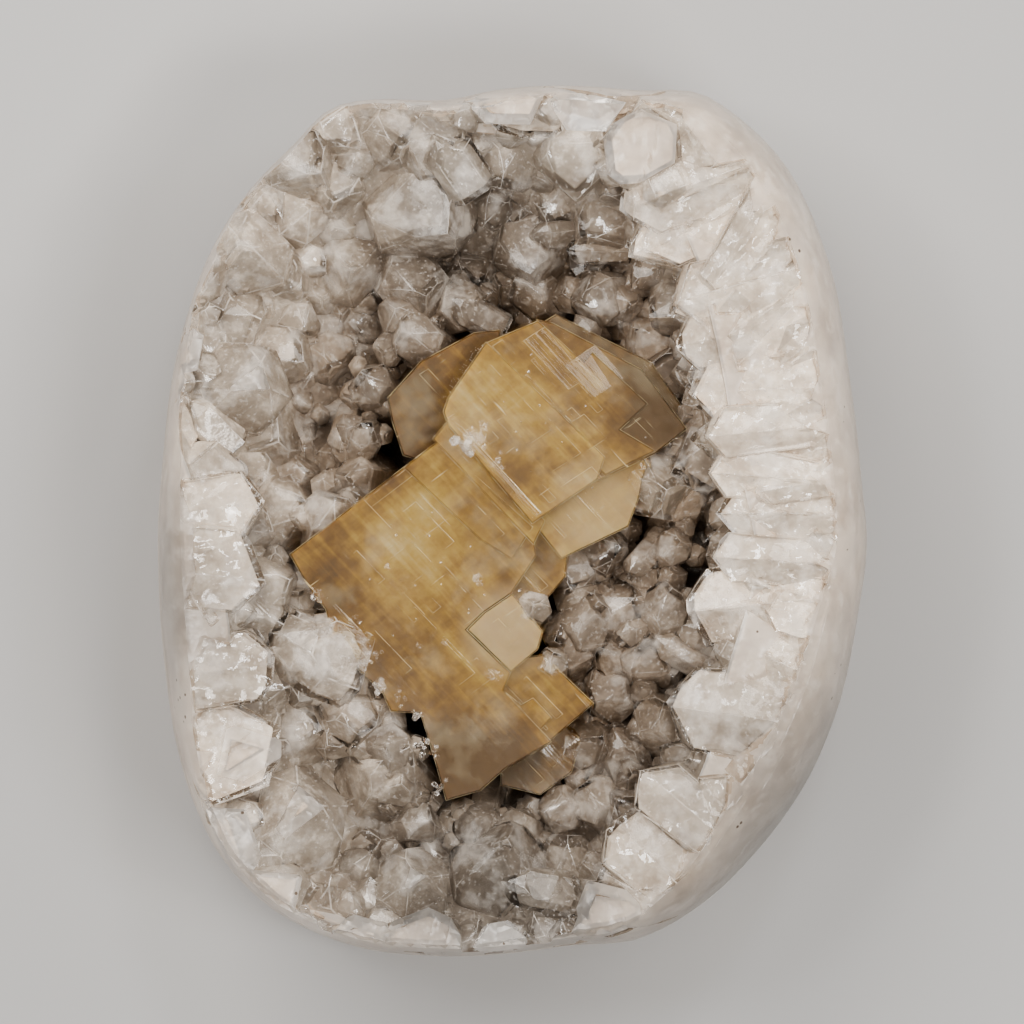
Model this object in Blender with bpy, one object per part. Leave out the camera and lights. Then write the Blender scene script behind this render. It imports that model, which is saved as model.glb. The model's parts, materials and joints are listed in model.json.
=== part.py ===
"""A hollow block of milky quartz, ground smooth outside and lined with quartz points round a cluster of honey calcite.

The block lies on its flat sawn back with the hollow up. Seen from above, +X is its right and +Y its top.
The origin is the middle of the flat back. Every size below is in millimetres.
"""

import math
import random

import bmesh
import bpy
from mathutils import Matrix, Vector

MM = 0.001

BLOCK_HEIGHT = 96.0
GAP = 0.3
# The sheet that the lining's points grow from: its distance from the hollow's wall, and its thickness.
SHEET_START = 0.5
SHEET_THICKNESS = 2.2

# The block's outline seen from above, as points that it passes through, anticlockwise from its right.
OUTLINE = [
    (96.3, -6.5), (94.6, 13.8), (91.4, 40.8), (85.6, 71.5), (74.5, 96.2), (61.7, 109.6), (50.0, 116.6),
    (34.7, 117.2), (18.5, 118.5), (-3.1, 117.6), (-19.3, 114.6), (-48.0, 113.0), (-60.0, 102.2), (-73.3, 88.0),
    (-84.0, 69.5), (-89.8, 51.6), (-94.6, 22.0), (-96.3, 0.3), (-96.0, -21.3), (-94.0, -44.0), (-86.5, -77.0),
    (-80.1, -90.2), (-68.5, -103.2), (-57.1, -110.4), (-38.2, -116.8), (-22.0, -118.3), (13.1, -115.8),
    (34.7, -113.4), (52.0, -103.6), (67.1, -88.8), (79.5, -71.5), (88.0, -52.0), (93.6, -27.0),
]

# What puts the middle of the block's bounding box on the origin.
OUTLINE_SHIFT = Vector((0.1305, -0.0745))

# How far the ground shoulder reaches in from the outline, as a share of its radius, by compass angle.
SHOULDER = [
    (0, 0.12), (40, 0.12), (75, 0.05), (110, 0.04), (145, 0.04), (165, 0.07), (185, 0.10), (205, 0.10),
    (225, 0.05), (255, 0.04), (285, 0.06), (310, 0.14), (335, 0.15),
]
# How far the front falls below the block's full height, by compass angle.
FRONT_FALL = [(0, 1.0), (60, 0.0), (110, 5.0), (150, 8.0), (190, 4.0), (230, 6.0), (270, 5.0), (320, 2.0)]

# Rings of the outer surface: share of the outline's radius, and share of the height.
WALL_RINGS = [(0.84, 0.0), (0.90, 0.02), (0.95, 0.08), (0.985, 0.22), (1.0, 0.42), (0.995, 0.60)]
# The shoulder's rings: share of the shoulder's width, and share of the height above the wall's last ring.
SHOULDER_RINGS = [(0.12, 0.42), (0.34, 0.70), (0.64, 0.90), (1.0, 1.0)]
# A last ring further in, where the front has risen by a little more.
FRONT_RING = 0.55
FRONT_CROWN = 0.6
ANGLE_STEPS = 60

# The hollow behind the crystals, from its own centre: compass angle, reach, height of its rim over the
# block's full height, and how steeply its wall rises.
HOLLOW_CENTRE = Vector((5.0, -10.5))
HOLLOW_FLOOR = 32.0
HOLLOW = [
    (0, 66, 7, 4.2), (28, 68, 7, 4.2), (50, 84, 6, 3.8), (66, 108, 5, 3.0), (80, 126, 0, 2.3), (95, 134, -6, 1.9),
    (112, 146, -12, 1.7), (130, 140, -14, 1.7), (145, 124, -9, 1.9), (158, 110, -5, 2.2), (172, 96, 0, 2.5),
    (186, 90, 3, 2.8), (202, 94, 2, 2.8), (217, 108, -3, 2.5), (230, 122, -8, 2.3), (244, 122, -10, 2.2),
    (257, 116, -9, 2.2), (270, 111, -8, 2.3), (284, 104, -4, 2.6), (298, 90, 3, 3.2), (312, 78, 6, 3.8),
    (332, 66, 7, 4.2),
]
HOLLOW_STEPS = 40
HOLLOW_RINGS = [0.16, 0.34, 0.50, 0.64, 0.76, 0.86, 0.94, 1.0]

# Quartz: how a tip's faces lean from the crystal's axis, and how uneven real points are.
TIP_FACE_LEAN = math.radians(51.8)
CUT_FACE_LEAN = math.radians(42)
POINT_SEED = 7
POINT_UNEVEN = 0.16
POINT_ROOT = 9.0
# Widths of the points that line the hollow, deep down and near the rim, and how close they stand.
DEEP_WIDTH = (12.0, 17.0)
RIM_WIDTH = (15.0, 22.0)
POINT_SPACING = 1.0
POINT_TRIES = 6000
POINT_TILT = 0.30
POINT_RISE = (0.10, 0.55)

# Crystals that stand out by themselves: middle of the tip's foot (x, y, z), the way it points, and its width.
STANDOUT_POINTS = [
    ((17.5, 97.0, 78.0), (0.0, -0.72, 0.55), 23.0),
    ((-22.0, 82.0, 72.0), (0.25, -0.35, 0.9), 27.0),
    ((-26.0, 63.0, 66.0), (0.2, -0.2, 0.95), 20.0),
    ((-19.0, 101.0, 82.0), (0.35, 0.1, 0.9), 17.0),
    ((-71.0, 37.0, 78.0), (0.25, 0.1, 0.95), 24.0),
    ((-72.0, 73.0, 76.0), (-0.1, 0.1, 1.0), 21.0),
    ((-56.0, -33.0, 78.5), (0.30, 0.35, 0.9), 18.0),
    ((-32.0, -66.0, 70.0), (0.30, 0.45, 0.85), 22.0),
    ((-58.0, -80.0, 80.0), (0.2, 0.3, 0.95), 26.0),
    ((-3.0, -92.0, 74.0), (0.1, 0.45, 0.9), 24.0),
    ((-27.0, -98.0, 80.0), (0.05, 0.25, 0.95), 21.0),
    ((13.0, -102.0, 77.0), (0.1, 0.3, 0.95), 17.0),
    ((28.0, -60.0, 58.0), (0.05, 0.1, 1.0), 15.0),
    ((35.0, -44.0, 56.0), (-0.1, 0.1, 1.0), 20.0),
]

# Points that the ground front cuts through lengthwise, so that their tips make the hollow's jagged edge:
# the tip (x, y), the compass way that it points, its width, and how far the axis lies below the front.
CUT_POINTS = [
    ((29.5, 104.5), 190, 22, 5), ((28.5, 83.0), 200, 17, 7), ((35.0, 72.0), 205, 13, 6), ((42.5, 58.5), 195, 17, 5),
    ((43.5, 47.0), 190, 16, 5), ((47.0, 34.5), 182, 17, 6), ((51.0, 22.5), 185, 13, 5), ((52.0, 13.0), 176, 12, 6),
    ((53.5, 2.0), 180, 14, 5), ((53.0, -9.5), 176, 12, 6), ((45.0, -24.5), 186, 24, 6), ((41.0, -49.5), 172, 21, 5),
    ((34.0, -66.0), 140, 17, 7), ((26.0, -79.0), 135, 19, 7), ((19.5, -91.5), 150, 18, 6), ((33.0, -92.0), 130, 20, 5),
    ((2.0, 99.0), 262, 27, 6), ((-66.0, 6.0), 10, 20, 6), ((-64.5, -16.0), 355, 23, 5), ((-62.0, -38.0), 8, 19, 6),
    ((-60.0, -55.0), 20, 24, 5),
]
CUT_POINT_LENGTH = 34.0

# Calcite: two stepped crystals. Each front face lies on a slanted plane: its height over the middle of the back
# at x = y = 0, and how much it rises per millimetre of x and of y.
LOWER_PLANE = Vector((-0.024, 0.067, 84.1))
UPPER_PLANE = Vector((-0.182, -0.085, 87.6))
# How the crystals' side faces lean per millimetre of depth.
LOWER_LEAN = Vector((0.03, 0.02))
UPPER_LEAN = Vector((-0.02, 0.04))
# Their steps: height over the plane, depth, and outline.
LOWER_STEPS = [
    (0.0, 50.0, [
        (-59.9, -8.9), (-20.0, 21.6), (5.7, -1.6), (6.5, -9.5), (0.0, -19.4), (-7.6, -24.6), (-12.2, -29.2),
        (-0.3, -40.8), (-2.2, -45.6), (10.8, -59.4), (-1.4, -66.4), (-8.4, -72.6), (-17.8, -75.3), (-21.3, -62.9),
        (-24.8, -51.8), (-32.7, -51.3), (-35.4, -45.1), (-41.3, -40.8), (-48.3, -31.9), (-50.2, -23.8),
        (-55.4, -16.7),
    ]),
    (0.8, 40.0, [(-7.6, -24.6), (0.0, -19.4), (8.4, -29.7), (7.0, -34.6), (-0.3, -40.8), (-12.2, -29.2)]),
    (-1.5, 46.0, [(-3.2, -37.5), (8.4, -35.9), (22.1, -49.1), (7.6, -61.6), (-3.2, -67.8), (-11.3, -48.3)]),
    (-0.7, 30.0, [(-2.2, -45.6), (2.4, -49.4), (5.7, -47.5), (10.8, -52.9), (7.6, -56.4), (-3.2, -52.4)]),
    (0.6, 30.0, [(-29.2, 14.3), (-20.0, 21.6), (5.7, -1.6), (0.0, -10.5), (-8.6, -5.1)]),
    (-11.0, 36.0, [(-3.2, -60.5), (10.8, -52.4), (18.6, -59.1), (16.2, -67.8), (7.6, -74.0), (-3.2, -71.3)]),
]
UPPER_STEPS = [
    (0.0, 46.0, [
        (-17.3, 33.2), (-7.0, 48.3), (25.1, 17.3), (23.0, 11.1), (5.4, -0.8), (-17.3, 25.7), (-18.6, 29.4),
    ]),
    (-1.0, 44.0, [
        (-7.4, 47.8), (7.0, 54.0), (19.2, 42.9), (21.6, 45.6), (36.7, 31.6), (29.2, 24.6), (38.9, 18.9),
        (25.1, 12.2), (13.0, 21.9),
    ]),
    (-2.0, 42.0, [(6.5, 54.3), (10.8, 53.5), (35.1, 40.8), (47.2, 24.8), (38.5, 18.0), (23.0, 10.5), (13.0, 24.6)]),
    (-2.6, 42.0, [(-21.5, 22.0), (-16.0, 28.5), (9.0, 0.0), (5.8, -6.5)]),
    (-6.5, 36.0, [(4.9, 51.6), (11.9, 55.8), (37.7, 42.8), (49.2, 26.2), (46.2, 21.9), (23.8, 21.9)]),
    (-8.5, 34.0, [
        (-3.2, 32.7), (-16.7, 13.8), (-29.4, 17.6), (-32.4, 27.0), (-33.5, 33.2), (-24.8, 42.9), (-10.3, 50.8),
        (-3.2, 51.6),
    ]),
    (-3.5, 34.0, [(2.2, 1.4), (23.0, 13.8), (34.6, 19.7), (37.2, 13.8), (31.3, -1.6), (13.2, -10.3), (6.5, -1.9)]),
]

# Small quartz points that grew on the calcite: foot (x, y, z), the way it points, and its width.
PERCHED_POINTS = [
    ((39.5, 9.0, 74.0), (0.15, -0.05, 1.0), 19.0),
    ((5.4, -23.0, 81.5), (0.05, 0.1, 1.0), 8.6),
    ((11.0, -37.5, 78.5), (0.05, 0.45, 0.85), 8.0),
]
PERCHED_ROOT = 12.0

FINISHES = {
    "quartz_shell": ((0.74, 0.71, 0.69), 0.5),
    "crystal_crust": ((0.52, 0.48, 0.46), 0.15),
    "calcite_cluster": ((0.68, 0.47, 0.22), 0.2),
    "perched_quartz": ((0.72, 0.68, 0.66), 0.1),
}


def clear_scene():
    for obj in list(bpy.data.objects):
        bpy.data.objects.remove(obj)


def smooth_value(rows, angle, column=1):
    """The value in a table of (compass angle, ...) rows at any angle, on a smooth closed curve through them."""
    angle %= 360
    count = len(rows)
    after = next((i for i, row in enumerate(rows) if row[0] > angle), count)
    first, second, third, fourth = (rows[(after + shift) % count] for shift in (-2, -1, 0, 1))
    span = (third[0] - second[0]) % 360
    share = ((angle - second[0]) % 360) / span
    rise_in = (third[column] - first[column]) * span / ((third[0] - first[0]) % 360)
    rise_out = (fourth[column] - second[column]) * span / ((fourth[0] - second[0]) % 360)
    square, cube = share**2, share**3
    return (
        second[column] * (2 * cube - 3 * square + 1)
        + third[column] * (3 * square - 2 * cube)
        + rise_in * (cube - 2 * square + share)
        + rise_out * (cube - square)
    )


OUTLINE_REACH = sorted((math.degrees(math.atan2(y, x)) % 360, math.hypot(x, y)) for x, y in OUTLINE)


def compass(angle, reach):
    return Vector((math.cos(math.radians(angle)), math.sin(math.radians(angle)))) * reach


def mesh_object(name, points, faces):
    """An object from points in millimetres, with its faces turned outwards."""
    shape = bmesh.new()
    corners = [shape.verts.new(Vector(point) * MM) for point in points]
    for face in faces:
        shape.faces.new([corners[i] for i in face])
    return object_of(name, shape)


def object_of(name, shape):
    bmesh.ops.recalc_face_normals(shape, faces=shape.faces)
    mesh = bpy.data.meshes.new(name)
    shape.to_mesh(mesh)
    shape.free()
    made = bpy.data.objects.new(name, mesh)
    bpy.context.scene.collection.objects.link(made)
    return made


def lofted(name, rings, first_tip, last_tip):
    """A closed solid through rings of points, with a fan of faces to a tip at each end."""
    count = len(rings[0])
    points = [first_tip, *[point for ring in rings for point in ring], last_tip]
    faces = []
    for step in range(count):
        after = (step + 1) % count
        faces.append((0, 1 + after, 1 + step))
        for ring in range(len(rings) - 1):
            low, high = 1 + ring * count, 1 + (ring + 1) * count
            faces.append((low + step, low + after, high + after, high + step))
        last = 1 + (len(rings) - 1) * count
        faces.append((last + step, last + after, len(points) - 1))
    return mesh_object(name, points, faces)


def outline_point(angle, share):
    """A point at a share of the way from the middle to the outline."""
    return compass(angle, smooth_value(OUTLINE_REACH, angle) * share) + OUTLINE_SHIFT


def front_height(angle):
    return BLOCK_HEIGHT - smooth_value(FRONT_FALL, angle)


def block_rings():
    """The ground outside, from the flat back up over the shoulder to the front."""
    angles = [360 * step / ANGLE_STEPS for step in range(ANGLE_STEPS)]
    rings = []
    for share, height in WALL_RINGS:
        rings.append([(*outline_point(angle, share), height * front_height(angle)) for angle in angles])
    wall_share, wall_height = WALL_RINGS[-1]
    for inwards, upwards in SHOULDER_RINGS:
        ring = []
        for angle in angles:
            share = wall_share - inwards * smooth_value(SHOULDER, angle)
            height = wall_height + upwards * (1 - wall_height)
            ring.append((*outline_point(angle, share), height * front_height(angle)))
        rings.append(ring)
    rings.append([(*outline_point(angle, FRONT_RING), front_height(angle) + FRONT_CROWN) for angle in angles])
    return rings


def ground_block(name):
    return lofted(name, block_rings(), (0, 0, 0), (0, 0, BLOCK_HEIGHT))


def hollow_point(angle, share):
    """A point of the hollow's wall, at a share of the way from the middle to the rim."""
    reach, rim, steepness = (smooth_value(HOLLOW, angle, column) for column in (1, 2, 3))
    flat = HOLLOW_CENTRE + compass(angle, reach * share)
    return Vector((*flat, HOLLOW_FLOOR + (BLOCK_HEIGHT + rim - HOLLOW_FLOOR) * share**steepness))


def hollow_normal(angle, share):
    """The way that the wall faces, into the hollow."""
    round_it = hollow_point(angle + 2, share) - hollow_point(angle - 2, share)
    up_it = hollow_point(angle, share + 0.01) - hollow_point(angle, share - 0.01)
    return up_it.cross(round_it).normalized()


def hollow_rings(inwards):
    """The wall moved into the hollow by a distance, from the middle to the rim."""
    angles = [360 * step / HOLLOW_STEPS for step in range(HOLLOW_STEPS)]
    return [
        [hollow_point(angle, share) + hollow_normal(angle, share) * inwards for angle in angles]
        for share in HOLLOW_RINGS
    ]


def hollow_floor(inwards):
    return Vector((*HOLLOW_CENTRE, HOLLOW_FLOOR + inwards))


def hollow_solid(name, inwards):
    """The space inside the hollow, carried up past the front."""
    rings = hollow_rings(inwards)
    top = BLOCK_HEIGHT + 30
    rings.append([Vector((point.x, point.y, top)) for point in rings[-1]])
    return lofted(name, rings, hollow_floor(inwards), Vector((*HOLLOW_CENTRE, top)))


def crust_sheet(name):
    """The thin sheet of quartz that all the points grow from."""
    over_at = SHEET_START + SHEET_THICKNESS
    under, over = hollow_rings(SHEET_START), hollow_rings(over_at)
    return lofted(name, under + over[::-1], hollow_floor(SHEET_START), hollow_floor(over_at))


def inside_planes(name, planes, size):
    """The convex solid that lies behind all of the planes, each a point and the way that it faces."""
    shape = bmesh.new()
    bmesh.ops.create_cube(shape, size=size * MM)
    for point, normal in planes:
        everything = shape.verts[:] + shape.edges[:] + shape.faces[:]
        cut = bmesh.ops.bisect_plane(
            shape, geom=everything, dist=1e-7, plane_co=point * MM, plane_no=normal, clear_outer=True
        )
        edges = [part for part in cut["geom_cut"] if isinstance(part, bmesh.types.BMEdge)]
        if edges:
            bmesh.ops.edgeloop_fill(shape, edges=edges)
    return object_of(name, shape)


def quartz_point(name, foot, way, width, root, chance, face_lean=TIP_FACE_LEAN):
    """A six-sided quartz crystal: uneven prism faces, and six tip faces of which three are the larger."""
    planes = []
    for side in range(6):
        turn = math.radians(60 * side)
        out = Vector((math.cos(turn), math.sin(turn), 0))
        half = width / 2 * (1 + chance.uniform(-POINT_UNEVEN, POINT_UNEVEN))
        planes.append((out * half, out))
        lean = out * math.sin(face_lean) + Vector((0, 0, math.cos(face_lean)))
        held_back = chance.uniform(0.0, 0.10) if side % 2 else chance.uniform(-0.16, -0.02)
        planes.append((out * (width / 2) + Vector((0, 0, -held_back * width)), lean))
    planes.append((Vector((0, 0, -root)), Vector((0, 0, -1))))
    made = inside_planes(name, planes, 6 * (width + root))
    turn = Matrix.Rotation(chance.uniform(0, math.tau), 4, "Z")
    made.matrix_world = Matrix.Translation(Vector(foot) * MM) @ Vector(way).to_track_quat("Z", "Y").to_matrix().to_4x4() @ turn
    return made


def grown(outline, by):
    """An outline, clockwise from above, moved outwards by a distance."""
    moved = []
    for number, corner in enumerate(outline):
        here = Vector(corner)
        edge_in = (here - Vector(outline[number - 1])).normalized()
        edge_out = (Vector(outline[(number + 1) % len(outline)]) - here).normalized()
        out_in = Vector((-edge_in.y, edge_in.x))
        out_out = Vector((-edge_out.y, edge_out.x))
        moved.append(here + (out_in + out_out) * by / (1 + out_in.dot(out_out)))
    return moved


def calcite_step(name, plane, lean, step, by):
    """One step of a calcite crystal, grown all round by a distance: its outline carried down from its top."""
    rise, depth, outline = step
    corners = grown(outline, by)
    points = []
    for down in (-by, depth + by):
        for corner in corners:
            top = plane.z + rise + plane.x * corner.x + plane.y * corner.y
            points.append((*(corner + lean * down), top - down))
    count = len(corners)
    faces = [tuple(range(count)), tuple(range(2 * count - 1, count - 1, -1))]
    faces += [(i, i + count, (i + 1) % count + count, (i + 1) % count) for i in range(count)]
    return mesh_object(name, points, faces)


def calcite_steps(name, by):
    lower = [calcite_step(f"{name}_lower", LOWER_PLANE, LOWER_LEAN, step, by) for step in LOWER_STEPS]
    upper = [calcite_step(f"{name}_upper", UPPER_PLANE, UPPER_LEAN, step, by) for step in UPPER_STEPS]
    return lower + upper


def inside_outline(point, outline):
    """True if a point lies within an outline, seen from above."""
    inside = False
    for number, (x, y) in enumerate(outline):
        last_x, last_y = outline[number - 1]
        if (y > point.y) != (last_y > point.y):
            if point.x < x + (last_x - x) * (point.y - y) / (last_y - y):
                inside = not inside
    return inside


def under_calcite(point, margin):
    """True if a point is hidden behind the calcite, seen from above, well inside one of its outlines."""
    return any(inside_outline(point, grown(outline, -margin)) for _, _, outline in LOWER_STEPS + UPPER_STEPS)


def lining_places(chance):
    """Where the lining's points stand: evenly scattered over the hollow's wall, larger towards the rim."""
    places = [(Vector(foot), width) for foot, _, width in STANDOUT_POINTS]
    taken = []
    for _ in range(POINT_TRIES):
        angle = chance.uniform(0, 360)
        share = math.sqrt(chance.uniform(0.0, 1.0))
        low, high = RIM_WIDTH if share > 0.62 else DEEP_WIDTH
        width = chance.uniform(low, high)
        foot = hollow_point(angle, share)
        if foot.z > BLOCK_HEIGHT + 1 or under_calcite(foot, 2.5):
            continue
        if any((foot - other).length < POINT_SPACING * (width + size) / 2 for other, size in places):
            continue
        places.append((foot, width))
        normal = hollow_normal(angle, share)
        tilt = Vector([chance.uniform(-POINT_TILT, POINT_TILT) for _ in range(3)])
        way = (normal + tilt + Vector((0, 0, 0.25))).normalized()
        taken.append((foot + way * width * chance.uniform(*POINT_RISE), way, width))
    return taken


def crust_points():
    """Every quartz point of the lining, as a crystal with its root in the sheet."""
    chance = random.Random(POINT_SEED)
    made = [quartz_point("standout", foot, way, width, width * 0.9, chance) for foot, way, width in STANDOUT_POINTS]
    for (x, y), way_round, width, below in CUT_POINTS:
        way = Vector((*compass(way_round, 1.0), 0.0))
        tip = Vector((x, y, BLOCK_HEIGHT - below))
        foot = tip - way * width * 0.42
        made.append(quartz_point("cut", foot, way, width, CUT_POINT_LENGTH, chance, CUT_FACE_LEAN))
    made += [quartz_point("lining", foot, way, width, POINT_ROOT, chance) for foot, way, width in lining_places(chance)]
    return made


def collected(name, objects):
    """The objects in a collection of their own, as cutters or members of a join."""
    group = bpy.data.collections.new(name)
    bpy.context.scene.collection.children.link(group)
    for obj in objects:
        bpy.context.scene.collection.objects.unlink(obj)
        group.objects.link(obj)
        obj.hide_render = True
        obj.display_type = "WIRE"
    return group


def combine(base, operation, others, solver="EXACT"):
    """Adds a Boolean modifier with one object or a whole collection."""
    modifier = base.modifiers.new(operation.title(), "BOOLEAN")
    modifier.operation = operation
    modifier.solver = solver
    if isinstance(others, bpy.types.Collection):
        modifier.operand_type = "COLLECTION"
        modifier.collection = others
    else:
        modifier.object = others
        others.hide_render = True
        others.display_type = "WIRE"


def largest_piece(obj):
    """Applies the modifiers and keeps only the largest connected body."""
    graph = bpy.context.evaluated_depsgraph_get()
    mesh = bpy.data.meshes.new_from_object(obj.evaluated_get(graph))
    obj.modifiers.clear()
    shape = bmesh.new()
    shape.from_mesh(mesh)
    left = set(shape.verts)
    pieces = []
    while left:
        piece, edge = set(), [left.pop()]
        while edge:
            corner = edge.pop()
            piece.add(corner)
            for link in corner.link_edges:
                other = link.other_vert(corner)
                if other in left:
                    left.remove(other)
                    edge.append(other)
        pieces.append(piece)
    pieces.sort(key=len)
    bmesh.ops.delete(shape, geom=[corner for piece in pieces[:-1] for corner in piece], context="VERTS")
    shape.to_mesh(mesh)
    shape.free()
    obj.data = mesh


def finish(obj, finish_name):
    """Gives a piece its own material and shades its round parts smooth."""
    colour, roughness = FINISHES[finish_name]
    material = bpy.data.materials.new(obj.name)
    material.use_nodes = True
    shader = material.node_tree.nodes["Principled BSDF"]
    shader.inputs["Base Color"].default_value = (*colour, 1.0)
    shader.inputs["Roughness"].default_value = roughness
    shader.inputs["Metallic"].default_value = 0.0
    obj.data.materials.clear()
    obj.data.materials.append(material)
    obj.data.shade_smooth()
    obj.data.set_sharp_from_angle(angle=math.radians(24))


def build_shell():
    shell = ground_block("quartz_shell")
    combine(shell, "DIFFERENCE", hollow_solid("hollow_cutter", 0.0))
    largest_piece(shell)
    finish(shell, "quartz_shell")


def build_calcite():
    blocks = calcite_steps("calcite", 0.0)
    calcite = blocks[0]
    calcite.name = "calcite_cluster"
    combine(calcite, "UNION", collected("calcite_steps", blocks[1:]))
    combine(calcite, "INTERSECT", hollow_solid("calcite_seat", SHEET_START + SHEET_THICKNESS + GAP))
    largest_piece(calcite)
    finish(calcite, "calcite_cluster")


def build_perched(calcite_room):
    """The points on the calcite, cut off where they meet it."""
    chance = random.Random(POINT_SEED + 1)
    for number, (foot, way, width) in enumerate(PERCHED_POINTS, 1):
        point = quartz_point(f"perched_quartz_{number}", foot, way, width, PERCHED_ROOT, chance)
        combine(point, "DIFFERENCE", calcite_room)
        largest_piece(point)
        finish(point, "perched_quartz")


def perched_room():
    """The perched points a little enlarged, so that the lining keeps clear of them."""
    chance = random.Random(POINT_SEED + 1)
    made = []
    for foot, way, width in PERCHED_POINTS:
        made.append(quartz_point("perched_room", foot, way, width, PERCHED_ROOT, chance))
        made[-1].scale = [1 + 2 * GAP / width] * 3
    return made


def build_crust(calcite_room):
    """The lining. With so many crystals the exact solver loses the whole body, so these are manifold ones."""
    points = crust_points()
    crust = points[0]
    crust.name = "crystal_crust"
    combine(crust, "UNION", collected("points", points[1:]), "MANIFOLD")
    combine(crust, "INTERSECT", hollow_solid("crust_roots", SHEET_START + SHEET_THICKNESS / 2), "MANIFOLD")
    combine(crust, "UNION", crust_sheet("crust_sheet"), "MANIFOLD")
    combine(crust, "INTERSECT", ground_block("crust_front"), "MANIFOLD")
    combine(crust, "DIFFERENCE", calcite_room, "MANIFOLD")
    combine(crust, "DIFFERENCE", collected("perched_rooms", perched_room()), "MANIFOLD")
    largest_piece(crust)
    finish(crust, "crystal_crust")


def main():
    clear_scene()
    calcite_room = collected("calcite_room", calcite_steps("calcite_room", GAP))
    build_shell()
    build_calcite()
    build_perched(calcite_room)
    build_crust(calcite_room)


main()
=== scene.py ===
"""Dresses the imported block: milky quartz with quartz points in its hollow, and honey calcite among them.

The block lies on its flat back, seen from above. Sizes are in millimetres until a mesh is made.
"""

import json
import math
import random

import bmesh
import bpy
from mathutils import Matrix, Vector, noise

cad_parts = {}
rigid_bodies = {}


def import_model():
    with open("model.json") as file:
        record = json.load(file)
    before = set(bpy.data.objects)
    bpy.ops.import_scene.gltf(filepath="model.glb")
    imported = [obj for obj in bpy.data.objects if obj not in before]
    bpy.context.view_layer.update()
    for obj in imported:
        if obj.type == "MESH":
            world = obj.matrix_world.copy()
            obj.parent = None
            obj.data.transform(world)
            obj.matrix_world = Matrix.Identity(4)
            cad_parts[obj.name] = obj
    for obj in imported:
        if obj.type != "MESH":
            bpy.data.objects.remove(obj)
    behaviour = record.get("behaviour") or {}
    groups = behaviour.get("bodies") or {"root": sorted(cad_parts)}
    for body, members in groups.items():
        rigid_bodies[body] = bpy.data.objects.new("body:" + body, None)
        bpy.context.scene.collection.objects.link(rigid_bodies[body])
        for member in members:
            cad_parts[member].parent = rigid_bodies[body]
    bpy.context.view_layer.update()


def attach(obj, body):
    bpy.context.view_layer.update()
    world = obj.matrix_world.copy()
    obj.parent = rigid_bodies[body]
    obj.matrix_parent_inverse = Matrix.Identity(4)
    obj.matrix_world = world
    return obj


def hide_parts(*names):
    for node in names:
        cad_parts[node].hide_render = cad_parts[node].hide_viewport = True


MM = 0.001

# The part's own values, repeated from its source.
BLOCK_HEIGHT = 96.0
SHEET_START = 0.5
SHEET_THICKNESS = 2.2
OUTLINE = [
    (96.3, -6.5), (94.6, 13.8), (91.4, 40.8), (85.6, 71.5), (74.5, 96.2), (61.7, 109.6), (50, 116.6),
    (34.7, 117.2), (18.5, 118.5), (-3.1, 117.6), (-19.3, 114.6), (-48, 113), (-60, 102.2), (-73.3, 88),
    (-84, 69.5), (-89.8, 51.6), (-94.6, 22), (-96.3, 0.3), (-96, -21.3), (-94, -44), (-86.5, -77),
    (-80.1, -90.2), (-68.5, -103.2), (-57.1, -110.4), (-38.2, -116.8), (-22, -118.3), (13.1, -115.8),
    (34.7, -113.4), (52, -103.6), (67.1, -88.8), (79.5, -71.5), (88, -52), (93.6, -27),
]
OUTLINE_SHIFT = Vector((0.1305, -0.0745))
FRONT_FALL = [(0, 1.0), (60, 0.0), (110, 5.0), (150, 8.0), (190, 4.0), (230, 6.0), (270, 5.0), (320, 2.0)]
WALL_RINGS = [(0.84, 0.0), (0.90, 0.02), (0.95, 0.08), (0.985, 0.22), (1.0, 0.42), (0.995, 0.60)]
SHOULDER_RINGS = [(0.12, 0.42), (0.34, 0.70), (0.64, 0.90), (1.0, 1.0)]
HOLLOW_CENTRE = Vector((5.0, -10.5))
HOLLOW_FLOOR = 32.0
HOLLOW = [
    (0, 66, 7, 4.2), (28, 68, 7, 4.2), (50, 84, 6, 3.8), (66, 108, 5, 3), (80, 126, 0, 2.3),
    (95, 134, -6, 1.9), (112, 146, -12, 1.7), (130, 140, -14, 1.7), (145, 124, -9, 1.9),
    (158, 110, -5, 2.2), (172, 96, 0, 2.5), (186, 90, 3, 2.8), (202, 94, 2, 2.8), (217, 108, -3, 2.5),
    (230, 122, -8, 2.3), (244, 122, -10, 2.2), (257, 116, -9, 2.2), (270, 111, -8, 2.3),
    (284, 104, -4, 2.6), (298, 90, 3, 3.2), (312, 78, 6, 3.8), (332, 66, 7, 4.2),
]
TIP_FACE_LEAN = math.radians(51.8)
CUT_FACE_LEAN = math.radians(42)
POINT_SEED = 7
POINT_UNEVEN = 0.16
POINT_ROOT = 9.0
DEEP_WIDTH = (12.0, 17.0)
RIM_WIDTH = (15.0, 22.0)
POINT_SPACING = 1.0
POINT_TRIES = 6000
POINT_TILT = 0.30
POINT_RISE = (0.10, 0.55)
POINT_UPWARDS = 0.25
STANDOUT_ROOT = 0.9
CUT_BACK = 0.42
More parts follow.
